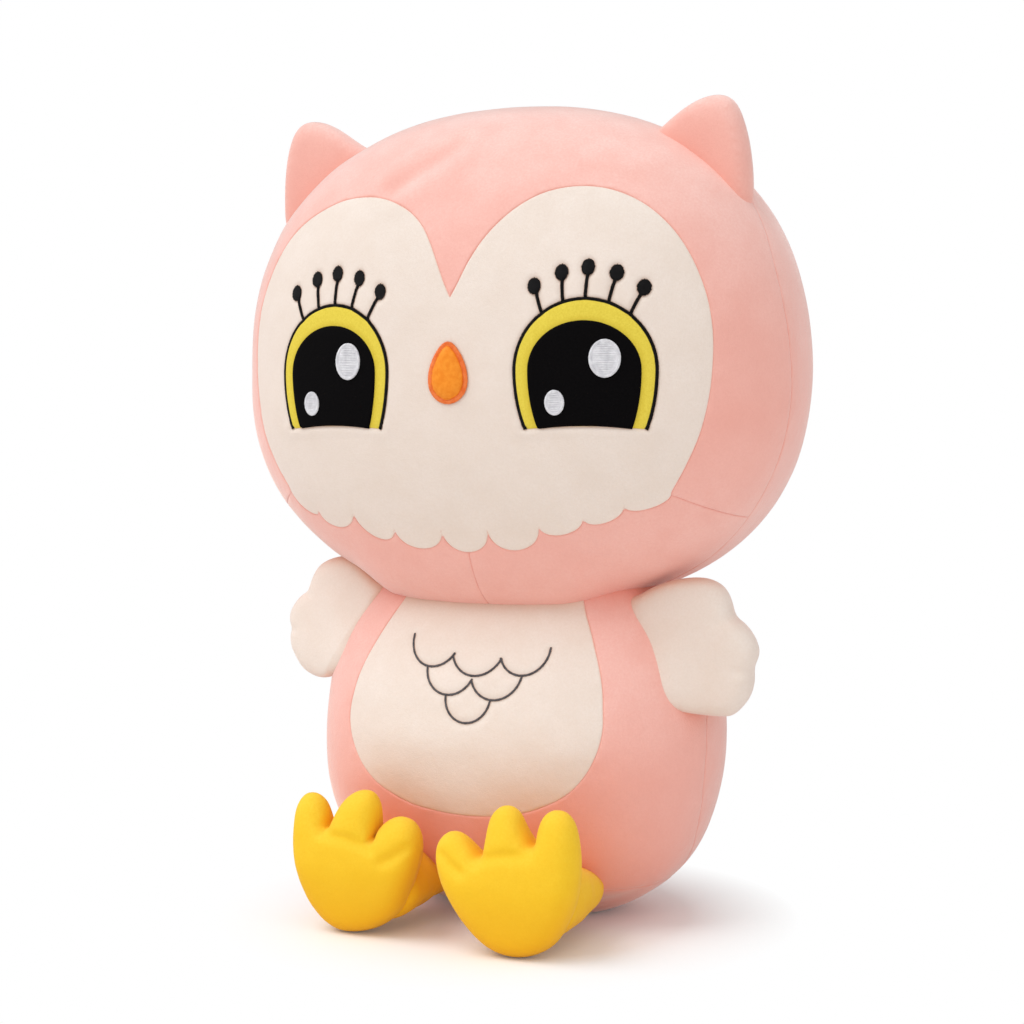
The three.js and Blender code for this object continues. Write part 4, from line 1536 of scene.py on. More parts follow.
class StitchTree:
    """Geometry Nodes tree that lays one thread on every stitch point."""

    inputs = {"Stitches": "Geometry", "Thread Radius": "Float", "Arch Height": "Float", "Unevenness": "Float",
              "Seed": "Int", "Thread": "Material"}
    bend_steps = 4
    thread_sides = 5

    def __init__(self) -> None:
        """Builds the tree once."""
        self.tree = bpy.data.node_groups.new("stitches", "GeometryNodeTree")
        face = self.tree.interface
        for name, kind in self.inputs.items():
            face.new_socket(name, in_out="INPUT", socket_type=f"NodeSocket{kind}")
        face.new_socket("Geometry", in_out="OUTPUT", socket_type="NodeSocketGeometry")
        self.sockets = {item.name: item.identifier for item in face.items_tree if item.in_out == "INPUT"}
        entry = self.add("NodeGroupInput", {}).outputs
        rise = self.add("ShaderNodeCombineXYZ", {"Z": entry["Arch Height"]})
        thread = self.add("GeometryNodeCurveQuadraticBezier", {
            "Resolution": self.bend_steps, "Start": (-0.5, 0, 0), "End": (0.5, 0, 0),
            "Middle": rise.outputs[0]})
        ring = self.add("GeometryNodeCurvePrimitiveCircle", {
            "Resolution": self.thread_sides, "Radius": entry["Thread Radius"]})
        tube = self.add("GeometryNodeCurveToMesh", {
            "Fill Caps": True, "Curve": thread.outputs[0], "Profile Curve": ring.outputs[0]})
        along, up = (self.add("GeometryNodeInputNamedAttribute", {"Name": name}, data_type="FLOAT_VECTOR")
                     .outputs["Attribute"] for name in ("along", "up"))
        lie = self.add("FunctionNodeAlignRotationToVector", {"Vector": along}, axis="X")
        stand = self.add("FunctionNodeAlignRotationToVector", {"Rotation": lie.outputs[0], "Vector": up},
                         axis="Z", pivot_axis="X")
        length = self.add("ShaderNodeVectorMath", {0: along}, operation="LENGTH")
        least, most = (self.add("ShaderNodeMath", {0: 1.0, 1: entry["Unevenness"]}, operation=operation)
                       for operation in ("SUBTRACT", "ADD"))
        chance = self.add("FunctionNodeRandomValue", {
            2: least.outputs[0], 3: most.outputs[0], "Seed": entry["Seed"]}, data_type="FLOAT").outputs[1]
        size = self.add("ShaderNodeMath", {0: length.outputs["Value"], 1: chance}, operation="MULTIPLY")
        scale = self.add("ShaderNodeCombineXYZ", {"X": size.outputs[0], "Y": 1.0, "Z": chance})
        lay = self.add("GeometryNodeInstanceOnPoints", {
            "Points": entry["Stitches"], "Instance": tube.outputs[0], "Rotation": stand.outputs[0],
            "Scale": scale.outputs[0]})
        real = self.add("GeometryNodeRealizeInstances", {0: lay.outputs[0]})
        paint = self.add("GeometryNodeSetMaterial", {
            "Geometry": real.outputs[0], "Material": entry["Thread"]})
        self.add("NodeGroupOutput", {0: paint.outputs[0]})

    def add(self, kind: str, inputs: dict[str | int, Socket | float | Place | str],
            **settings: str) -> bpy.types.Node:
        """Adds a node.

        Args:
            kind: its type.
            inputs: a socket or a plain value for each of its inputs that is set.
            settings: its own settings.

        Returns:
            The node.
        """
        node = self.tree.nodes.new(kind)
        for name, value in settings.items():
            setattr(node, name, value)
        for key, value in inputs.items():
            if isinstance(value, Socket):
                self.tree.links.new(value, node.inputs[key])
            else:
                node.inputs[key].default_value = value
        return node


@dataclass
class Stitches:
    """Stitches that are laid on a surface: their middles, runs and upward ways."""

    surface: Surface
    middles: list[np.ndarray] = field(default_factory=list)
    runs: list[np.ndarray] = field(default_factory=list)
    ups: list[np.ndarray] = field(default_factory=list)
    unevenness: float = 0.06
    chain_share: float = 0.72
    chain_lean: float = 0.05

    def lay(self, starts: np.ndarray, ends: np.ndarray, lift: float) -> None:
        """Lays straight stitches between flat places.

        Args:
            starts: X and Z of one end of each stitch.
            ends: X and Z of the other end.
            lift: how far the stitches lie off the cloth, in millimetres.
        """
        first, way_a = self.surface.at(starts)
        last, way_b = self.surface.at(ends)
        up = unit(way_a + way_b)
        self.middles.append((first + last) / 2 + up * lift)
        self.runs.append(last - first)
        self.ups.append(up)

    def satin(self, line: np.ndarray, width: float, closed: bool, lift: float,
              spacing: float = 0.42, slant: float = 0.18) -> None:
        """Lays close stitches across a line.

        Args:
            line: flat places along the line.
            width: length of the stitches.
            closed: whether the line closes on itself.
            lift: how far the stitches lie off the cloth.
            spacing: distance from stitch to stitch.
            slant: how far each stitch leans along the line.
        """
        even = resampled(np.vstack([line, line[:1]]) if closed else line, spacing, closed)
        run, left = line_ways(even, closed)
        across = left + run * slant
        self.lay(even - across * width / 2, even + across * width / 2, lift)

    def rows(self, outline: np.ndarray, spacing: float, lift: float) -> None:
        """Fills an outline with level stitches from side to side.

        Args:
            outline: the closed outline.
            spacing: distance from stitch to stitch.
            lift: how far the stitches lie off the cloth.
        """
        low, high = outline[:, 1].min(), outline[:, 1].max()
        starts, ends = [], []
        for height in np.arange(low + spacing / 2, high, spacing):
            crossings = [a[0] + (height - a[1]) * (b[0] - a[0]) / (b[1] - a[1])
                         for a, b in zip(outline, np.roll(outline, -1, axis=0))
                         if (a[1] > height) != (b[1] > height)]
            if len(crossings) >= 2:
                starts.append((min(crossings), height))
                ends.append((max(crossings), height))
        self.lay(np.array(starts), np.array(ends), lift)

    def chain(self, line: np.ndarray, length: float, lift: float, offset: float) -> None:
        """Lays stitches end over end along a line, a little to one side of it.

        Args:
            line: points along the line.
            length: length of a stitch.
            lift: how far the stitches lie off the cloth.
            offset: how far the stitches lie to one side.
        """
        even = resampled(line, length * self.chain_share, False)
        run, left = line_ways(even)
        shift = left * offset
        wobble = np.where(np.arange(len(even)) % 2 == 0, 1.0, -1.0)[:, None] * self.chain_lean
        lean = shift / abs(offset) * wobble
        self.lay(even + shift - run * length / 2 - lean, even + shift + run * length / 2 + lean, lift)

    def skin(self, tree: StitchTree, thread: bpy.types.Material, radius: float, arch: float) -> Skin:
        """Turns the stitches into a plain mesh by Geometry Nodes.

        Args:
            tree: the node tree.
            thread: the thread's material.
            radius: the thread's radius in millimetres.
            arch: how high a stitch rises at its middle.

        Returns:
            The threads.
        """
        middles, runs, ups = (np.vstack(part) for part in (self.middles, self.runs, self.ups))
        holder = raw_object("stitch_points", middles, fields={"along": runs * MM, "up": ups})
        modifier = holder.modifiers.new("stitches", "NODES")
        modifier.node_group = tree.tree
        sizes = {"Thread Radius": radius * MM, "Arch Height": 2 * arch * MM, "Unevenness": self.unevenness,
                 "Seed": SEED, "Thread": thread}
        for name, value in sizes.items():
            modifier[tree.sockets[name]] = value
        threads = Skin.from_object(holder)
        threads.fields = {}
        return threads


def arc(value: np.ndarray) -> np.ndarray:
    """Rise of a quarter circle from 0 to 1, as a value goes from 0 to 1."""
    return np.sqrt(1 - (1 - np.clip(value, 0, 1)) ** 2)


def patch(surface: Surface, outline: np.ndarray, step: float, thickness: float, base: float = 0.0,
          dome: float = 0.0, edge: float = 0.7, sink: float = 0.5) -> Skin:
    """Closed piece of cloth that lies on a surface.

    Args:
        surface: what it lies on.
        outline: its flat outline.
        step: size of its triangles.
        thickness: how thick it is.
        base: how far its underside lies off the surface.
        dome: how much further its middle swells.
        edge: how far its rounded edge reaches in.
        sink: how deep its rim goes under its base.

    Returns:
        The piece, with the distance to its edge as field "rim".
    """
    flat, faces = flat_cut(outline, step, (0.12, 0.4 * edge, edge))
    border = on_border(len(flat), faces)
    depth, _ = outline_depth(flat, outline)
    depth = np.where(border, 0, np.maximum(depth, 0))
    places, ways = surface.at(flat)
    height = base + thickness * arc(depth / edge) + dome * arc(depth / depth.max())
    height[border] = base - sink
    top, bottom = places + ways * height[:, None], places + ways * (base - sink)
    skin = Skin.closed_pair(top, bottom, faces, border, ways)
    skin.fields["rim"] = np.concatenate([depth, np.zeros(len(skin.points) - len(depth))])
    return skin


# The studio


@dataclass
class Studio:
    """Pale floor, soft light and the camera."""

    eye: Place = (0.4238, -0.9237, 0.2459)
    target: Place = (-0.0092, 0.0049, 0.1989)
    lens: float = 70.7
    sensor: float = 36.0
    suns: tuple[tuple[str, float, float, Place], ...] = (
        ("key", 1.5, 45.0, (0.45, 0.35, -0.82)), ("fill", 0.55, 70.0, (-0.5, 0.6, -0.6)))
    sky: float = 0.55
    floor_size: float = 12.0
    floor_shade: float = 0.9
    floor_roughness: float = 0.9
    floor_specular: float = 0.1
    floor_glow: float = 0.06
    shadow_middle: Place = (0.0, -0.02, 0.0)
    shadow_reach: Flat = (0.09, 0.145)

    def camera(self) -> None:
        """Sets the camera at the photograph's viewing angle."""
        data = bpy.data.cameras.new("camera")
        data.lens = self.lens
        data.sensor_width = self.sensor
        made = linked("camera", data)
        made.location = self.eye
        way = Vector(self.target) - Vector(self.eye)
        made.rotation_euler = way.to_track_quat("-Z", "Y").to_euler()
        bpy.context.scene.camera = made

    def lamps(self) -> None:
        """Adds the lamps and the white surroundings."""
        for name, strength, spread, way in self.suns:
            data = bpy.data.lights.new(name, "SUN")
            data.energy = strength
            data.angle = math.radians(spread)
            linked(name, data).rotation_euler = Vector(way).to_track_quat("-Z", "Y").to_euler()
        world = bpy.data.worlds.new("surroundings")
        world.use_nodes = True
        tree = world.node_tree
        shine, seen = tree.nodes["Background"], tree.nodes.new("ShaderNodeBackground")
        shine.inputs["Strength"].default_value = self.sky
        for node in (shine, seen):
            node.inputs["Color"].default_value = (1, 1, 1, 1)
        tree.links.new(self.seen_ray(tree), self.mixer(tree, shine.outputs[0], seen.outputs[0]).inputs[0])
        bpy.context.scene.world = world

    @staticmethod
    def mixer(tree: bpy.types.NodeTree, first: Socket, second: Socket) -> bpy.types.Node:
        """Mixes two shaders into a tree's output.

        Args:
            tree: nodes of a material or of the world.
            first: the shader that is used at share 0.
            second: the shader that is used at share 1.

        Returns:
            The mixing node.
        """
        node = tree.nodes.new("ShaderNodeMixShader")
        tree.links.new(first, node.inputs[1])
        tree.links.new(second, node.inputs[2])
        output = next(item for item in tree.nodes if item.type in ("OUTPUT_WORLD", "OUTPUT_MATERIAL"))
        tree.links.new(node.outputs[0], output.inputs[0])
        return node

    @staticmethod
    def seen_ray(tree: bpy.types.NodeTree) -> Socket:
        """Value that is 1 on rays that show the background.

        Args:
            tree: nodes of a material or of the world.

        Returns:
            The value's socket.
        """
        path = tree.nodes.new("ShaderNodeLightPath")
        total = path.outputs["Is Camera Ray"]
        for name in ("Is Glossy Ray", "Is Transmission Ray"):
            node = tree.nodes.new("ShaderNodeMath")
            node.operation = "MAXIMUM"
            tree.links.new(total, node.inputs[0])
            tree.links.new(path.outputs[name], node.inputs[1])
            total = node.outputs[0]
        return total

    def floor(self) -> None:
        """Lays the floor, which shows white and keeps the owl's shadow near the owl."""
        half = self.floor_size / 2 / MM
        corners = [(-half, -half, 0), (half, -half, 0), (half, half, 0), (-half, half, 0)]
        made = raw_object("floor", np.array(corners), [[0, 1, 2, 3]])
        bench = NodeBench("floor_white")
        tree, plain = bench.tree, bench.shader
        plain.inputs["Base Color"].default_value = (*[self.floor_shade] * 3, 1)
        plain.inputs["Roughness"].default_value = self.floor_roughness
        plain.inputs["Specular IOR Level"].default_value = self.floor_specular
        glow, white = bench.add("Emission", Strength=self.floor_glow), bench.add("Emission")
        near, shown = bench.add("AddShader"), bench.add("MixShader")
        span = bench.add("VectorMath")
        span.operation = "DISTANCE"
        span.inputs[1].default_value = self.shadow_middle
        bench.link(bench.place, span.inputs[0])
        share = bench.spread(span.outputs["Value"], *self.shadow_reach)
        for source, target in ((plain.outputs[0], near.inputs[0]), (glow.outputs[0], near.inputs[1]),
                               (share, shown.inputs[0]), (near.outputs[0], shown.inputs[1]),
                               (white.outputs[0], shown.inputs[2])):
            bench.link(source, target)
        bench.link(self.seen_ray(tree), self.mixer(tree, plain.outputs[0], shown.outputs[0]).inputs[0])
        made.data.materials.append(bench.material)

    def build(self) -> None:
        """Sets up camera, light and floor."""
        self.camera()
        self.lamps()
        self.floor()
        bpy.context.scene.view_settings.view_transform = "Standard"


# The head


@dataclass
class Eye:
    """Applique iris and pupil with an embroidered outline, lashes and two lights."""

    side: Side
    spacing: float = 131.0
    height: float = 268.5
    ball: Place = (33.0, 33.2, 53.0)
    pupil: Place = (25.8, 22.6, 48.5)
    cut: float = 27.0
    cut_arch: float = 1.4
    line_width: float = 1.7
    lash_roots: Line = ((-19.3, 25.6), (-9.6, 31.2), (0.6, 33.0), (11.0, 30.9), (20.4, 24.9))
    lash_tips: Line = ((-23.4, 38.6), (-10.8, 44.6), (1.2, 46.8), (14.0, 44.1), (25.9, 37.3))
    right_lash_spread: Flat = (1.07, 1.02)
    lash_width: float = 1.5
    dot: Flat = (3.1, 3.9)
    light_places: tuple[tuple[str, Flat, Flat], ...] = (
        ("large", (10.4, 5.2), (7.2, 9.0)), ("small", (-12.6, -14.8), (4.4, 5.7)))
    cloth: float = 0.8
    black_radius: float = 0.23
    white_radius: float = 0.33
    arch_height: float = 0.3

    @property
    def centre(self) -> np.ndarray:
        """Middle of the eye, seen from the front."""
        return np.array([self.side.value * self.spacing / 2, self.height])

    @property
    def tag(self) -> str:
        """Start of the names of its nodes."""
        return f"eye_{self.side.tag}"

    def oval(self, sizes: Place, inset: float) -> np.ndarray:
        """Open upper line of an oval from its right lower corner to its left one.

        Args:
            sizes: half width, rise and lower depth of the oval.
            inset: how far inside the line it is drawn.

        Returns:
            Flat places along the line.
        """
        half, rise, low = (size - inset for size in sizes)
        corner = math.asin(min(self.cut / low, 1))
        turn = np.linspace(-corner, math.pi + corner, 120)
        up = np.where(np.sin(turn) > 0, rise, low)
        return self.centre + np.stack([half * np.cos(turn), up * np.sin(turn)], 1)

    def arch(self, sizes: Place, inset: float) -> np.ndarray:
        """Shallow arch that cuts an oval off below, from left to right.

        Args:
            sizes: half width, rise and lower depth of the oval.
            inset: how far inside the line it is drawn.

        Returns:
            Flat places along the arch.
        """
        line = self.oval(sizes, inset)
        start, end = line[-1], line[0]
        share = np.linspace(0, 1, 40)[:, None]
        return start + (end - start) * share + np.array([0, self.cut_arch]) * (4 * share * (1 - share))

    def outline(self, sizes: Place, inset: float) -> np.ndarray:
        """Closed outline of the eye or of its pupil."""
        return np.vstack([self.oval(sizes, inset), self.arch(sizes, inset)[1:-1]])

    def lash_lines(self) -> list[tuple[np.ndarray, np.ndarray]]:
        """Root and tip of each lash.

        Returns:
            Two flat places for each lash.
        """
        spread = np.array(self.right_lash_spread if self.side is Side.RIGHT else (1.0, 1.0))
        return [(self.centre + np.array(root), self.centre + np.array(tip) * spread)
                for root, tip in zip(self.lash_roots, self.lash_tips)]

    def press(self, spots: np.ndarray) -> np.ndarray:
        """How far the embroidery draws the cloth in at flat places, with the fold under the eye.

        Args:
            spots: flat places on the face.

        Returns:
            One height for each place.
        """
        depth, _ = outline_depth(spots, self.outline(self.ball, 0))
        change = -0.7 * ramp(depth, -1.2, 0.4)
        gap, _ = line_distance(spots, self.arch(self.ball, 0), False)
        below = (depth < 0) & (spots[:, 1] < self.centre[1])
        change = change + np.where(below, 0.4 * bell(gap - 2.8, 2.2) * smooth_step(gap / 1.6), 0)
        for root, tip in self.lash_lines():
            gap, _ = line_distance(spots, np.array([root, tip]), False)
            tip_gap = np.linalg.norm((spots - tip) * np.array([1.2, 1.0]), axis=1) - self.dot[1]
            change = change - 0.55 * bell(np.maximum(gap - 0.8, 0), 1.3)
            change = change - 0.5 * bell(np.maximum(tip_gap, 0), 1.3)
        return change

    def build(self, surface: Surface, tree: StitchTree, dresser: Dresser) -> None:
        """Makes all the eye's pieces on the face and hands them over.

        Args:
            surface: the cloth that the embroidery lies on.
            tree: the node tree that lays the threads.
            dresser: what hands the pieces over.
        """
        iris = patch(surface, self.outline(self.ball, self.line_width * 0.75), 1.6, self.cloth)
        pupil_line = self.outline(self.pupil, 0)
        pupil = patch(surface, pupil_line, 1.5, self.cloth, base=self.cloth, edge=0.9)
        # The iris's rim field runs from the pupil's edge, where its painted shadow lies.
        iris.fields["rim"], _ = line_distance(iris.points[:, [X, Z]], pupil_line, True)
        for skin, name, slot in ((iris, "iris", Slot.IRIS), (pupil, "pupil", Slot.BLACK_CLOTH)):
            made = skin.to_object(f"owl_{self.tag}_{name}")
            dresser.hand_over(made, slot, [f"{self.tag}_{name}"], "head")
        self.build_outline(surface, tree, dresser)
        on_pupil = Surface(pupil)
        for name, place, size in self.light_places:
            middle, ring = self.centre + np.array(place), circle(60) * np.array(size)
            pad = patch(on_pupil, middle + ring * 0.9, 1.2, 0.35, sink=0.2, edge=0.5)
            stitches = Stitches(on_pupil)
            stitches.rows(middle + ring * 0.84, 0.8, 0.2)
            stitches.satin(middle + ring * 0.9, 1.3, True, 0.3, 0.5)
            thread = dresser.materials[Slot.WHITE_THREAD]
            threads = stitches.skin(tree, thread, self.white_radius, self.arch_height)
            made = pad.joined(threads).to_object(f"owl_{self.tag}_light_{name}")
            dresser.hand_over(made, Slot.WHITE_THREAD, [f"{self.tag}_highlight_{name}"], "head")

    def build_outline(self, surface: Surface, tree: StitchTree, dresser: Dresser) -> None:
        """Embroiders the eye's outline and lashes.

        Args:
            surface: the cloth that the embroidery lies on.
            tree: the node tree that lays the threads.
            dresser: what hands the pieces over.
        """
        line = self.oval(self.ball, self.line_width / 2)
        pad = self.strip(surface, line, self.line_width * 0.7)
        stitches = Stitches(surface)
        stitches.satin(line, self.line_width, False, 0.35)
        dot = circle(24) * np.array(self.dot)
        for root, tip in self.lash_lines():
            stitches.satin(np.array([root, tip - (tip - root) * 0.18]), self.lash_width, False, 0.3)
            stitches.rows(tip + dot, 0.42, 0.4)
            pad = pad.joined(patch(surface, tip + dot * 0.85, 1.2, 0.5, edge=0.8))
        thread = dresser.materials[Slot.BLACK_THREAD]
        threads = stitches.skin(tree, thread, self.black_radius, self.arch_height)
        made = pad.joined(threads).to_object(f"owl_{self.tag}_outline")
        dresser.hand_over(made, Slot.BLACK_THREAD, [f"{self.tag}_outline"], "head")

    @staticmethod
    def strip(surface: Surface, line: np.ndarray, width: float) -> Skin:
        """Low pad under a satin line.

        Args:
            surface: the cloth that the embroidery lies on.
            line: points along the line.
            width: width of the strip.

        Returns:
            The pad.
        """
        even = resampled(line, 1.0, False)
        across = line_ways(even)[1] * width / 2
        outline = np.vstack([even - across, (even + across)[::-1]])
        return patch(surface, outline, 0.9, 0.35, edge=0.35, sink=0.3)


@dataclass
class Head(SewnForm):
    """Large stuffed head: face, front, chin and back panels."""

    form: RoundForm = RoundForm(270.4, 145.6, 85.3, 86.5, 130.5, 117.4, 2.39, 2.3, 2.3, 2.32)
    side_seam: Line = (
        (153, -8), (180, -11), (200, -13.5), (221, -15), (242, -14.6), (264, -15.2), (285, -18), (300, -19.8),
        (316, -19.6), (328, -17.5), (345, -12), (360, -9), (375, -4), (388, 1), (401, 3))
    squares: int = 40
    seams: tuple[str, ...] = ("side", "shape", "level", "middle")
    body: str = "head"
    chin_height: float = 210.9
    chin_slope: float = 0.5
    chin_bend: Flat = (101.0, 141.0)
    face_edge: Line = (
        (0, 303), (3.4, 309.4), (8.6, 320), (14.8, 329.8), (22.8, 338.8), (31.5, 345.9), (41.5, 351),
        (52, 353.4), (63, 353.6), (74.4, 351.3), (88, 344.7), (100.6, 333.6), (109.6, 320.4), (116.2, 304.6),
        (119.6, 288), (119.9, 271), (118.2, 254.4), (114.2, 238.6), (107.6, 224.4), (100.4, 212.4))
    left_cusps: Line = (
        (100.4, 212.4), (79.6, 206.2), (60.3, 200.4), (38.8, 196.4), (12.3, 193.8), (-12.3, 193.0))
    right_cusps: Line = ((100.4, 212.4), (84, 201.2), (61.5, 201.4), (38.8, 193.9), (12.3, 193))
    left_hangs: tuple[float, ...] = (4.6, 5.4, 6.4, 11.0, 10.9)
    right_hangs: tuple[float, ...] = (6.0, 8.8, 9.6, 9.9)
    waves: tuple[Wave, ...] = (Wave(0.5, 34.0, 11), Wave(0.22, 15.0, 12))
    swells: tuple[Change, ...] = (
        Change(6.0, (Slope(Z, 192, 162), Slope(X, -86, -52), Slope(X, 70, 36), Slope(Y, -5, -30))),
        Change(1.0, (Slope(X, -60, -110), Slope(Z, 180, 210))))
    crown_dent: Line = ((-9.0, 376.0), (-38.0, 356.0))
    eye_reach: float = 60.0
    fine_eye: Flat = (52.0, -30.0)

    def face_half(self, cusps: Line, hangs: tuple[float, ...]) -> np.ndarray:
        """Upper edge of one half of the face, then the scallops between its cusps.

        Args:
            cusps: places of the cusps, from the side inwards.
            hangs: how far each scallop hangs down.

        Returns:
            Flat places along both.
        """
        pieces = [smooth_line(list(self.face_edge), False, 1.5)]
        for hang, start, end in zip(hangs, np.array(cusps), np.array(cusps)[1:]):
            turn = np.linspace(0, math.pi, 18)[1:, None]
            down = np.array([0.0, -hang]) * np.sin(turn) ** 0.9
            pieces.append(start + (end - start) / 2 * (1 - np.cos(turn)) + down)
        return np.vstack(pieces)

    @cached_property
    def outline(self) -> np.ndarray:
        """Heart-shaped upper edge and scalloped lower edge of the face, closed.

        Returns:
            Flat places along the outline.
        """
        left = self.face_half(self.left_cusps, self.left_hangs)[:-1]
        right = self.face_half(self.right_cusps, self.right_hangs)[1:][::-1]
        inner = 3.8 * bell(right[:, 1] - 343, 15) * ramp(right[:, 0], 60, 45)
        right[:, 0] += 4.2 * ramp(right[:, 0], 72, 100) - inner
        return np.vstack([left, right * MIRRORED_FLAT])

    def level(self, points: np.ndarray) -> np.ndarray:
        """Height of the chin seam, which drops towards the sides."""
        start, end = self.chin_bend
        return self.chin_height - self.chin_slope * np.clip(np.abs(points[:, X]) - start, 0, end - start)

    def zones(self, side: np.ndarray, shape: np.ndarray, level: np.ndarray) -> dict[str, np.ndarray | bool]:
        """Where each seam line is a real seam."""
        return {"side": True, "shape": side < 0, "level": (side < 0) & (shape < 0),
                "middle": (side > 0) | ((shape < 0) & (level < 0))}

    def fine_near_eyes(self, skin: Skin, eyes: list[Eye]) -> Skin:
        """The head with finer triangles under the eyes.

        Args:
            skin: the cloth.
            eyes: both eyes.

        Returns:
            The finer head.
        """
        near = np.zeros(len(skin.points), dtype=bool)
        for eye in eyes:
            gap = np.linalg.norm(skin.points[:, [X, Z]] - eye.centre, axis=1)
            near |= (gap < self.fine_eye[0]) & (skin.points[:, Y] < self.fine_eye[1])
        return skin.refined(near)

    def relief(self, skin: Skin, eyes: list[Eye]) -> None:
        """Presses the cloth in around embroidery and raises soft folds.

        Args:
            skin: the cloth.
            eyes: both eyes.
        """
        flat = skin.points[:, [X, Z]]
        lift = sum(part.at(skin.points) for part in self.waves + self.swells)
        ahead = ramp(skin.points[:, Y], 0, -20)
        for eye in eyes:
            near = np.linalg.norm(flat - eye.centre, axis=1) < self.eye_reach
            lift[near] += eye.press(flat[near]) * ahead[near]
        gap, _ = line_distance(flat, np.array(self.crown_dent), False)
        skin.lift(lift + ahead * (-1.6 * bell(gap, 5.0) + 0.9 * bell(gap - 9, 6.0)))

    def cut(self, skin: Skin) -> Skin:
        """Slices the filled head along all its seams."""
        self.measure(skin)
        return self.sliced(skin.refined(self.seam_distance(skin) < self.fine_reach))

    def panels(self, skin: Skin) -> dict[str, tuple[np.ndarray, list[str], Slot]]:
        """Triangles, edging seams and material slot of every panel.

        Args:
            skin: the cloth.

        Returns:
            All three by the panel's name.
        """
        front = skin.on_faces("side") < 0
        face = front & (skin.on_faces("shape") > 0)
        around = front & ~face
        chin = around & (skin.on_faces("level") < 0)
        halves = {Side.LEFT: skin.on_faces("middle") > 0}
        halves[Side.RIGHT] = ~halves[Side.LEFT]
        panels = {
            "face_panel": (face, ["shape"], Slot.CREAM),
            "head_front_panel": (around & ~chin, ["side", "shape", "level"], Slot.PINK),
        }
        for side in Side:
            panels[f"chin_panel_{side.tag}"] = (
                chin & halves[side], ["side", "shape", "level", "middle"], Slot.PINK)
            panels[f"head_back_panel_{side.tag}"] = (~front & halves[side], ["side", "middle"], Slot.PINK)
        return panels

    def panel_bend(self, name: str) -> Bend | None:
        """No panel of the head crosses the neck."""
        return None


@dataclass
class Beak:
    """Padded embroidered beak with a satin border."""

    height: float = 264.0
    half_width: float = 10.3
    rise: float = 18.2
    drop: float = 10.8
    border: float = 2.6
    swell: float = 2.6
    thread_radius: float = 0.25

    def outline(self, inset: float) -> np.ndarray:
        """Egg-shaped outline, pointed above.

        Args:
            inset: how far inside the line it is drawn.

        Returns:
            Flat places along the outline.
        """
        across, up = circle(72).T
        tall = np.where(up > 0, self.rise, self.drop) - inset
        narrow = np.where(up > 0, 1 - 0.3 * up**2, 1)
        return np.stack([(self.half_width - inset) * across * narrow, self.height + tall * up], 1)

    def build(self, surface: Surface, tree: StitchTree, dresser: Dresser) -> None:
        """Makes the padded middle and the border.

        Args:
            surface: the cloth that the embroidery lies on.
            tree: the node tree that lays the threads.
            dresser: what hands the pieces over.
        """
        inner = self.border * 0.8
        core = patch(surface, self.outline(inner), 1.2, 0.8, dome=self.swell, edge=0.8)
        rows = Stitches(Surface(core))
        rows.rows(self.outline(inner + 0.25), 0.46, 0.12)
        ground = patch(surface, self.outline(self.border * 0.2), 1.2, 0.3, edge=0.4, sink=0.3)
        edge = Stitches(surface)
        edge.satin(self.outline(self.border / 2), self.border, True, 0.55)
        for name, pad, stitches, slot, arch in (("beak", core, rows, Slot.ORANGE_THREAD, 0.25),
                                                ("beak_border", ground, edge, Slot.SALMON_THREAD, 0.5)):
            threads = stitches.skin(tree, dresser.materials[slot], self.thread_radius, arch)
            dresser.hand_over(pad.joined(threads).to_object(f"owl_{name}"), slot, [name], "head")


@dataclass
class Ear:
    """Padded ear that grows out of the head's upper corner."""

    bag: Bag = field(default_factory=lambda: Bag((
        (58, 370), (70, 377.5), (81, 385.6), (90.1, 392.6), (98.2, 397.3), (103.9, 399.2), (108.7, 399.8),
        (113.2, 399), (117, 396.4), (119.6, 392.4), (121.6, 387.2), (123.8, 379), (125.4, 369), (126.2, 359),
        (125.6, 346), (114, 328), (88, 338)), plane=-17.5, half_thickness=10.5, step=2.2))
    cloth: float = 1.8
    reach: float = 3.0
    fill: float = 0.6
    base_depth: float = 7.0
    left_set: tuple[Change, ...] = (Change((-2.3, 5.0, 0.0)),)
    right_set: tuple[Change, ...] = (
        Change((0.0, 0.0, 2.0), (Slope(X, -90, -70),)), Change((-1.0, 0.0, 0.0)),
        Change((-2.0, 0.0, 0.0), (Slope(Z, 350, 400),)))

    def dress(self, skin: Skin, head: RoundForm, dresser: Dresser) -> None:
        """Cuts both ears free of the head's inside and hands their panels over.

        Args:
            skin: the cloth.
            head: the head's form.
            dresser: what hands the pieces over.
        """
        skin.fields["head"] = head.gap(skin.points) + self.base_depth
        skin = skin.sliced("head")
        skin = skin.part(skin.on_faces("head") > 0)
        right = skin.mirrored()
        for side, placed, changes in ((Side.LEFT, right.mirrored(), self.left_set),
                                      (Side.RIGHT, right, self.right_set)):
            placed.move(changes)
            dresser.bag(placed, f"ear_{side.tag}", Slot.PINK, "head", self.fill, self.cloth)


# The body


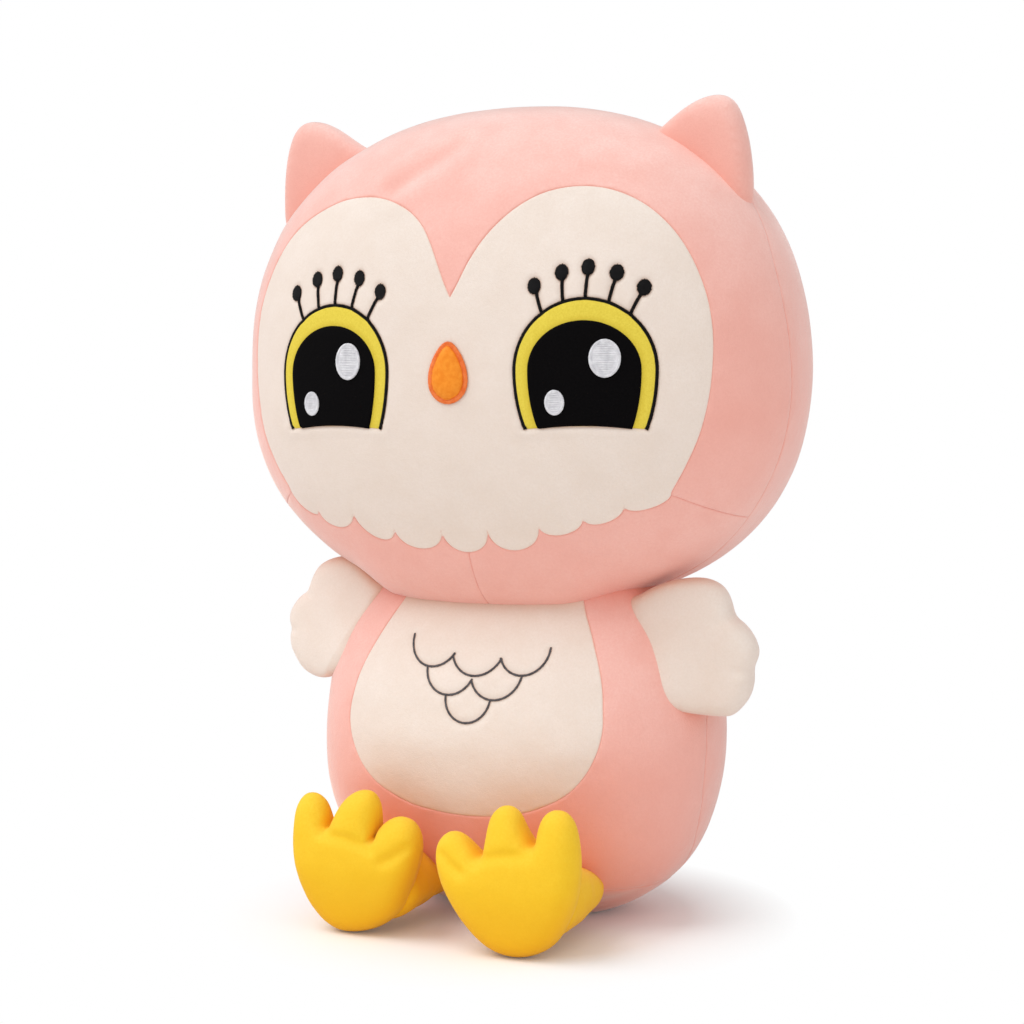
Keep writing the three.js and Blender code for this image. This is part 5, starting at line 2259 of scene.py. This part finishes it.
@dataclass
class Body(SewnForm):
    """Rounded body: belly, front, back and base panels with the feather embroidery."""

    form: RoundForm = RoundForm(87.0, 104.2, 69.0, 65.5, 106.0, 91.5, 2.4, 2.4, 1.5, 2.36)
    side_seam: Line = (
        (0, 12), (20, 8), (30, 2), (46, -7), (68, -13.5), (93, -14.5), (116, -11), (130, -9), (160, -6))
    squares: int = 30
    seams: tuple[str, ...] = ("neck", "side", "shape", "level", "middle")
    body: str = "body"
    reach: float = 2.5
    base_height: float = 20.0
    belly_points: Line = (
        (0, 56.2), (12, 56.9), (29, 59.6), (40, 63.6), (50, 69.2), (58, 77.5), (64, 89), (66.2, 100),
        (65.6, 109), (63.4, 122), (56.6, 140.5), (48.2, 158), (43, 174), (40, 192))
    belly_widening: float = 0.075
    neck_depth: float = 9.0
    neck_bend: Flat = (140.0, 158.0)
    feathers: tuple[tuple[float, float, float, float, float], ...] = (
        (-23.5, 139.3, 13.3, 179, 326), (0.3, 136.9, 14.1, 207, 333), (24.4, 136.6, 12.6, 208, 358),
        (-12.2, 126.6, 13.2, 186, 332), (12.0, 125.4, 13.2, 206, 348), (-1.0, 112.8, 11.9, 184, 352))
    feather_press: float = 0.6
    fine_feathers: float = 3.5
    waves: tuple[Wave, ...] = (Wave(0.5, 30.0, 21), Wave(0.2, 13.0, 22))
    wave_slope: Slope = Slope(Z, 0, 15)
    front_rise: tuple[Change, ...] = (Change((0.0, 0.0, 4.5), (Slope(Y, -4, -26), Slope(Z, 24, 4))),)

    @cached_property
    def outline(self) -> np.ndarray:
        """Outline of the belly, closed.

        Returns:
            Flat places along the outline.
        """
        half = smooth_line(list(self.belly_points), False, 1.5)
        half = np.vstack([half, [[0.0, half[-1][1]]]])
        other = half[1:-1][::-1] * MIRRORED_FLAT
        other[:, 0] *= 1 + self.belly_widening * bell(other[:, 1] - 95, 45.0)
        return np.vstack([half, other])

    @cached_property
    def feather_lines(self) -> list[np.ndarray]:
        """Arcs of the feather embroidery, seen from the front.

        Returns:
            Flat places along each arc.
        """
        lines = []
        for across, up, radius, start, end in self.feathers:
            turn = np.radians(np.linspace(start, end, 40))
            lines.append(np.array([across, up]) + radius * np.stack([np.cos(turn), np.sin(turn)], 1))
        return lines

    def level(self, points: np.ndarray) -> np.ndarray:
        """Height of the base seam."""
        return np.full(len(points), self.base_height)

    def zones(self, side: np.ndarray, shape: np.ndarray, level: np.ndarray) -> dict[str, np.ndarray | bool]:
        """Where each seam line is a real seam."""
        return {"side": level > 0, "shape": side < 0, "level": True, "middle": (side > 0) & (level > 0)}

    def relief(self, skin: Skin) -> None:
        """Presses the belly in along the feather lines and makes the cloth uneven.

        Args:
            skin: the cloth.
        """
        flat = skin.points[:, [X, Z]]
        lift = sum(wave.at(skin.points) for wave in self.waves) * self.wave_slope.at(skin.points)
        near = (skin.points[:, Y] < 0) & (np.abs(flat - np.array([0, 120])) < np.array([45, 30])).all(1)
        gap = np.min([line_distance(flat[near], line, False)[0] for line in self.feather_lines], axis=0)
        lift[near] -= self.feather_press * bell(np.maximum(gap - 0.3, 0), 2.0)
        skin.lift(lift)
        skin.points[:, X] -= 1.6 * bell(skin.points[:, Z] - 55, 25)
        skin.move(self.front_rise)
        skin.above()

    def cut(self, skin: Skin, head: RoundForm) -> Skin:
        """Slices the filled body along its seams and takes off what the head hides.

        Args:
            skin: the cloth.
            head: the head's form.

        Returns:
            The sliced body without its hidden top.
        """
        self.measure(skin)
        near = self.seam_distance(skin) < self.fine_reach
        for line in self.feather_lines:
            gap, _ = line_distance(skin.points[:, [X, Z]], line, False)
            near |= (gap < self.fine_feathers) & (skin.points[:, Y] < 0)
        skin = skin.refined(near)
        self.relief(skin)
        skin.fields["neck"] = head.gap(skin.points) + self.neck_depth
        skin = self.sliced(skin)
        return skin.part(skin.on_faces("neck") > 0)

    def panels(self, skin: Skin) -> dict[str, tuple[np.ndarray, list[str], Slot]]:
        """Triangles, edging seams and material slot of every panel.

        Args:
            skin: the cloth.

        Returns:
            All three by the panel's name.
        """
        base = skin.on_faces("level") < 0
        front = ~base & (skin.on_faces("side") < 0)
        belly = front & (skin.on_faces("shape") > 0)
        back, left = ~base & ~front, skin.on_faces("middle") > 0
        back_seams = ["side", "level", "middle"]
        return {
            "base_panel": (base, ["level"], Slot.PINK),
            "belly_panel": (belly, ["shape"], Slot.CREAM),
            "body_front_panel": (front & ~belly, ["side", "shape", "level"], Slot.PINK),
            "body_back_panel_left": (back & left, back_seams, Slot.PINK),
            "body_back_panel_right": (back & ~left, back_seams, Slot.PINK),
        }

    def panel_bend(self, name: str) -> Bend | None:
        """Every panel that reaches the neck bends with the head.

        Args:
            name: name of the panel.

        Returns:
            The bend, or nothing for the base panel.
        """
        if name == "base_panel":
            return None
        start, end = (Vector((0, 0, height * MM)) for height in self.neck_bend)
        return self.body, "head", start, end

    def embroider(self, surface: Surface, tree: StitchTree, dresser: Dresser) -> None:
        """Sews the feather lines onto the belly.

        Args:
            surface: the cloth that the embroidery lies on.
            tree: the node tree that lays the threads.
            dresser: what hands the pieces over.
        """
        stitches = Stitches(surface)
        for line in self.feather_lines:
            for offset in (-0.16, 0.16):
                stitches.chain(line, 2.4, 0.1, offset)
        threads = stitches.skin(tree, dresser.materials[Slot.GREY_THREAD], 0.38, 0.2)
        made = threads.to_object("owl_chest_embroidery")
        dresser.hand_over(made, Slot.GREY_THREAD, ["chest_embroidery"], self.body)


# The limbs


def bend_line(joint: Place, way: Place, reach: Flat, side: Side) -> tuple[Vector, Vector]:
    """Start and end, in metres, of the bend at a limb's joint.

    Args:
        joint: the left joint.
        way: where the left limb goes from it.
        reach: distances along it where the bend starts and ends.
        side: the side that the limb is on.

    Returns:
        Both places on that side.
    """
    flip = Vector((side.value, 1, 1))
    start, end = (Vector(joint) * flip + Vector(way) * flip * distance for distance in reach)
    return start, end


@dataclass
class Wing:
    """Padded wing with rounded lobes, sewn into the body's side."""

    bag: Bag = field(default_factory=lambda: Bag((
        (62, 158), (68.7, 161), (80, 166.7), (93.4, 170.2), (104, 171.1), (109.3, 170), (112.9, 167.8),
        (115.6, 164.4), (117.7, 159), (119.2, 153.4), (123.5, 150.3), (127.1, 146.5), (130.2, 141.2),
        (131.3, 136.8), (130.3, 132.7), (128.7, 129.0), (128.9, 123.2), (127.3, 116.2), (123.7, 110.5),
        (119.5, 106.4), (115.9, 105.2), (106.9, 105.2), (96.9, 106.4), (89.9, 107.7), (84, 109), (76, 132)),
        plane=-22.0, half_thickness=10.0, roundness=1.0, creases=(
            (((119.0, 153.0), (115, 150.6)), 0.9, 2.4), (((128.4, 128.2), (123.5, 127.9)), 1.0, 2.0))))
    joint: Place = (0.081315, -0.022, 0.139)
    outwards: Place = (0.86126, 0.0, 0.50817)
    bend: Flat = (-0.003, 0.014)
    cloth: float = 1.6
    reach: float = 3.0
    fill: float = 0.7
    wave: Wave = Wave(0.25, 12.0, 31)
    root: Slope = Slope(X, 110, 80)
    seat: tuple[Change, ...] = (
        Change((0.0, -6.0, 0.0), (Slope(X, 110, 80), Slope(Z, 150, 110))),
        Change((3.0, 0.0, 1.2), (Slope(X, 110, 80), Slope(Z, 140, 160))))
    settle_turn: float = 16.0
    settle_lift: float = 3.5
    tip_reach: float = 25.0

    def settle(self, skin: Skin, root: np.ndarray) -> None:
        """Lays the owl's right wing a little back and up, as it has settled.

        Args:
            skin: the mirrored wing.
            root: how near each point is to the root, from 0 to 1.
        """
        mirror = np.array([Side.RIGHT.value, 1, 1])
        way, turn = np.array(self.outwards) * mirror, math.radians(self.settle_turn)
        skin.points[:, Z] += self.settle_lift * root
        out = np.maximum((skin.points - np.array(self.joint) * mirror / MM) @ way, 0)
        tip = smooth_step(out / self.tip_reach)
        skin.points = skin.points + np.outer(out * (math.cos(turn) - 1), way)
        skin.points[:, Y] += out * math.sin(turn)
        skin.points[:, Z] += self.settle_lift * tip
        share = (0.11 + 0.07 * tip) * ramp(skin.points[:, X], -68, -82)
        skin.points[:, Z] += share * np.maximum(160 - skin.points[:, Z], 0)

    def dress(self, skin: Skin, dresser: Dresser) -> None:
        """Hands the panels of both wings over.

        Args:
            skin: the cloth.
            dresser: what hands the pieces over.
        """
        skin.lift(self.wave.at(skin.points))
        root = self.root.at(skin.points)
        skin.move(self.seat)
        for side in Side:
            placed = skin if side is Side.LEFT else skin.mirrored()
            if side is Side.RIGHT:
                self.settle(placed, root)
            start, end = bend_line(self.joint, self.outwards, self.bend, side)
            body = f"wing_{side.tag}"
            dresser.bag(placed, body, Slot.CREAM, body, self.fill, self.cloth, ("body", body, start, end))


@dataclass
class Leg:
    """Short leg that is flat at the hip, and a foot with three toes."""

    foot_plane: float = -99.5
    half_thickness: float = 13.5
    roundness: float = 1.05
    right_shift: float = 8.5
    joint: Place = (0.039, -0.046306, 0.022)
    forwards: Place = (0.30236, -0.95319, 0.0)
    bend: Flat = (0.0, 0.02)
    foot_points: Line = (
        (43, 0), (52, 2.6), (60, 8.2), (67.2, 19.6), (71, 29), (72.6, 38), (73, 47), (72.2, 57),
        (70.2, 65), (66, 69.6), (60, 70), (55.6, 67), (53, 60), (52, 52.5), (46.6, 60), (43.6, 67),
        (39.6, 70.2), (34.6, 70), (30, 66), (27.8, 58), (26.8, 50.5), (25.6, 45.6), (21, 49.6),
        (16.4, 54), (12, 56.2), (7.4, 55.8), (3.4, 52.4), (1.4, 47), (2.2, 39.6), (5.4, 30.6), (11, 20.4),
        (17.8, 11), (25.4, 4.2), (33, 0.8))
    right_points: Line = (
        (48.5, 1.2), (57, 1.6), (65.4, 6.4), (72.4, 15.7), (77.6, 29.9), (79.6, 42.4), (79.6, 51),
        (78.4, 60.6), (74.2, 66.8), (68.6, 67.4), (63.4, 63.4), (61, 56.4), (60.2, 51), (55.4, 61),
        (50.2, 67.6), (43.2, 71), (37.4, 70.2), (34, 64.6), (33.8, 57), (34.4, 49.5), (33.4, 53),
        (29.8, 57), (23.4, 59.8), (16.6, 58.2), (12.8, 53.2), (11.8, 45), (14, 35.4), (18.4, 24.6),
        (22.8, 15.6), (28.4, 9.6), (37, 4.2))
    folds: tuple[Line, ...] = (
        ((25, 45), (36.5, 48.6), (47, 49.6), (51.4, 50.4)), ((8, 46), (13, 42), (18, 39.5)))
    rings: tuple[tuple[float, float, float, float, float], ...] = (
        (-36, 39, 22.6, 19, 7), (-42, 39.2, 22.4, 22, 10.5), (-50, 39.6, 22.6, 24, 13),
        (-60, 40, 23.6, 26, 14.5), (-71, 40, 24.4, 27.2, 17.6), (-82, 40, 24.8, 27.8, 19.4),
        (-92, 40, 24.8, 27.6, 19.6), (-97, 40, 24.8, 25, 18))
    ring_points: int = 44
    ring_rows: int = 26
    ring_roundness: float = 2.3
    cloth: float = 1.6
    foot_reach: float = 3.0
    leg_reach: float = 2.0
    waves: tuple[Wave, ...] = (Wave(0.5, 9.0, 41), Wave(0.4, 18.0, 42))
    foot_set: tuple[Change, ...] = (Change((0.0, 4.0, 0.0), (Slope(Z, 36, 0),)),)
    right_foot_set: tuple[Change, ...] = (Change((0.0, 8.5, 0.0)),)
    right_leg_set: tuple[Change, ...] = (
        Change((-4.5, 8.5, 0.0), (Slope(Y, -36, -81),)),
        Change((0.0, 0.0, -6.0), (Slope(X, -36, -18), Slope(Z, 12, 32))))

    def raw_foot(self, right: bool) -> tuple[bpy.types.Object, np.ndarray]:
        """Unfilled foot, the right one still drawn on the left, and how firmly its points are held.

        Args:
            right: whether it is the owl's right foot.

        Returns:
            The piece, and one value from 0 to 1 for each of its points.
        """
        shift = self.right_shift if right else 0.0
        folds = [smooth_line([(x + shift, z) for x, z in line], False, 1.0) for line in self.folds]
        bag = Bag(self.right_points if right else self.foot_points, self.foot_plane, self.half_thickness,
                  roundness=self.roundness, creases=tuple((line, 1.5, 2.6) for line in folds))
        return bag.raw("foot_raw_right" if right else "foot_raw")

    def raw_leg(self) -> tuple[bpy.types.Object, np.ndarray]:
        """Unfilled left leg, and how firmly its points are held.

        Returns:
            The piece, and one value from 0 to 1 for each of its points.
        """
        around = self.ring_points
        turn = circle(around)
        turn = np.sign(turn) * np.abs(turn) ** (2 / self.ring_roundness)
        depths, *columns = np.array(self.rings).T
        fine = np.linspace(depths[0], depths[-1], self.ring_rows)
        order = np.argsort(depths)
        values = np.array([np.interp(fine, depths[order], column[order]) for column in columns])
        rows = [np.stack([middle + width * turn[:, 0], np.full(around, depth), height + half * turn[:, 1]], 1)
                for depth, (middle, height, width, half) in zip(fine, values.T)]
        ends = [[values[0][0], depths[0] + 0.5, values[1][0]],
                [values[0][-1], depths[-1] - 0.5, values[1][-1]]]
        last = (len(fine) - 1) * around
        faces = []
        for step in range(around):
            after = (step + 1) % around
            faces += [[row + step, row + after, row + after + around, row + step + around]
                      for row in range(0, last, around)]
            faces += [[after, step, last + around], [last + step, last + after, last + around + 1]]
        places = np.vstack([*rows, ends])
        held = (places[:, Y] > depths[0] - 5) | (places[:, Y] < depths[-1] + 3)
        return raw_object("leg_raw", places, faces), held.astype(float)

    def dress(self, left_foot: Skin, right_foot: Skin, leg: Skin, dresser: Dresser) -> None:
        """Hands the pieces of both legs over.

        Args:
            left_foot: the filled left foot.
            right_foot: the filled right foot, still drawn on the left.
            leg: the filled left leg.
            dresser: what hands the pieces over.
        """
        for foot in (left_foot, right_foot):
            foot.points[:, Z] -= foot.points[:, Z].min()
            foot.move(self.foot_set)
        leg.lift(sum(wave.at(leg.points) for wave in self.waves))
        leg.above(0.4)
        leg.fields["seam"] = np.abs(leg.points[:, Y] - self.rings[0][0]) + 2
        if (leg.face_normals() * (leg.points[leg.faces[:, 0]] - leg.points.mean(0))).sum() < 0:
            leg.faces = leg.faces[:, ::-1]
        right_foot, right_leg = right_foot.mirrored(), leg.mirrored()
        right_foot.move(self.right_foot_set)
        right_leg.move(self.right_leg_set)
        for side, foot, cover in ((Side.LEFT, left_foot, leg), (Side.RIGHT, right_foot, right_leg)):
            body = f"leg_{side.tag}"
            dresser.bag(foot, f"foot_{side.tag}", Slot.YELLOW, body, 0.8, self.cloth)
            nodes = [f"{body}_cover", f"{body}_filling"]
            start, end = bend_line(self.joint, self.forwards, self.bend, side)
            dresser.hand_over(cover.to_object(f"owl_{body}_cover"), Slot.YELLOW, nodes, body,
                              ("body", body, start, end))


def main() -> None:
    """Builds the owl piece by piece around the frame."""
    logging.basicConfig(level=logging.INFO, format="%(name)s: %(message)s")
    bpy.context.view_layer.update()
    Studio().build()
    workshop, dresser, tree = Workshop(), Dresser(), StitchTree()
    head, body, ear, wing, leg = Head(), Body(), Ear(), Wing(), Leg()
    workshop.add(head.raw(), head.reach)
    workshop.add(body.raw(), body.reach)
    workshop.add(ear.bag.raw("ear_raw"), ear.reach)
    workshop.add(wing.bag.raw("wing_raw"), wing.reach)
    workshop.add(leg.raw_foot(False), leg.foot_reach)
    workshop.add(leg.raw_foot(True), leg.foot_reach)
    workshop.add(leg.raw_leg(), leg.leg_reach)
    head_skin, body_skin, ear_skin, wing_skin, left_foot, right_foot, leg_skin = workshop.fill()

    eyes = [Eye(side) for side in Side]
    head_skin = head.fine_near_eyes(head_skin, eyes)
    head.relief(head_skin, eyes)
    face = Surface(head_skin)
    head.dress(head.cut(head_skin), dresser)
    for eye in eyes:
        eye.build(face, tree, dresser)
    Beak().build(face, tree, dresser)
    ear.dress(ear_skin, head.form, dresser)

    body_skin = body.cut(body_skin, head.form)
    belly = Surface(body_skin)
    body.dress(body_skin, dresser)
    body.embroider(belly, tree, dresser)
    wing.dress(wing_skin, dresser)
    leg.dress(left_foot, right_foot, leg_skin, dresser)


if __name__ == "__main__":
    main()
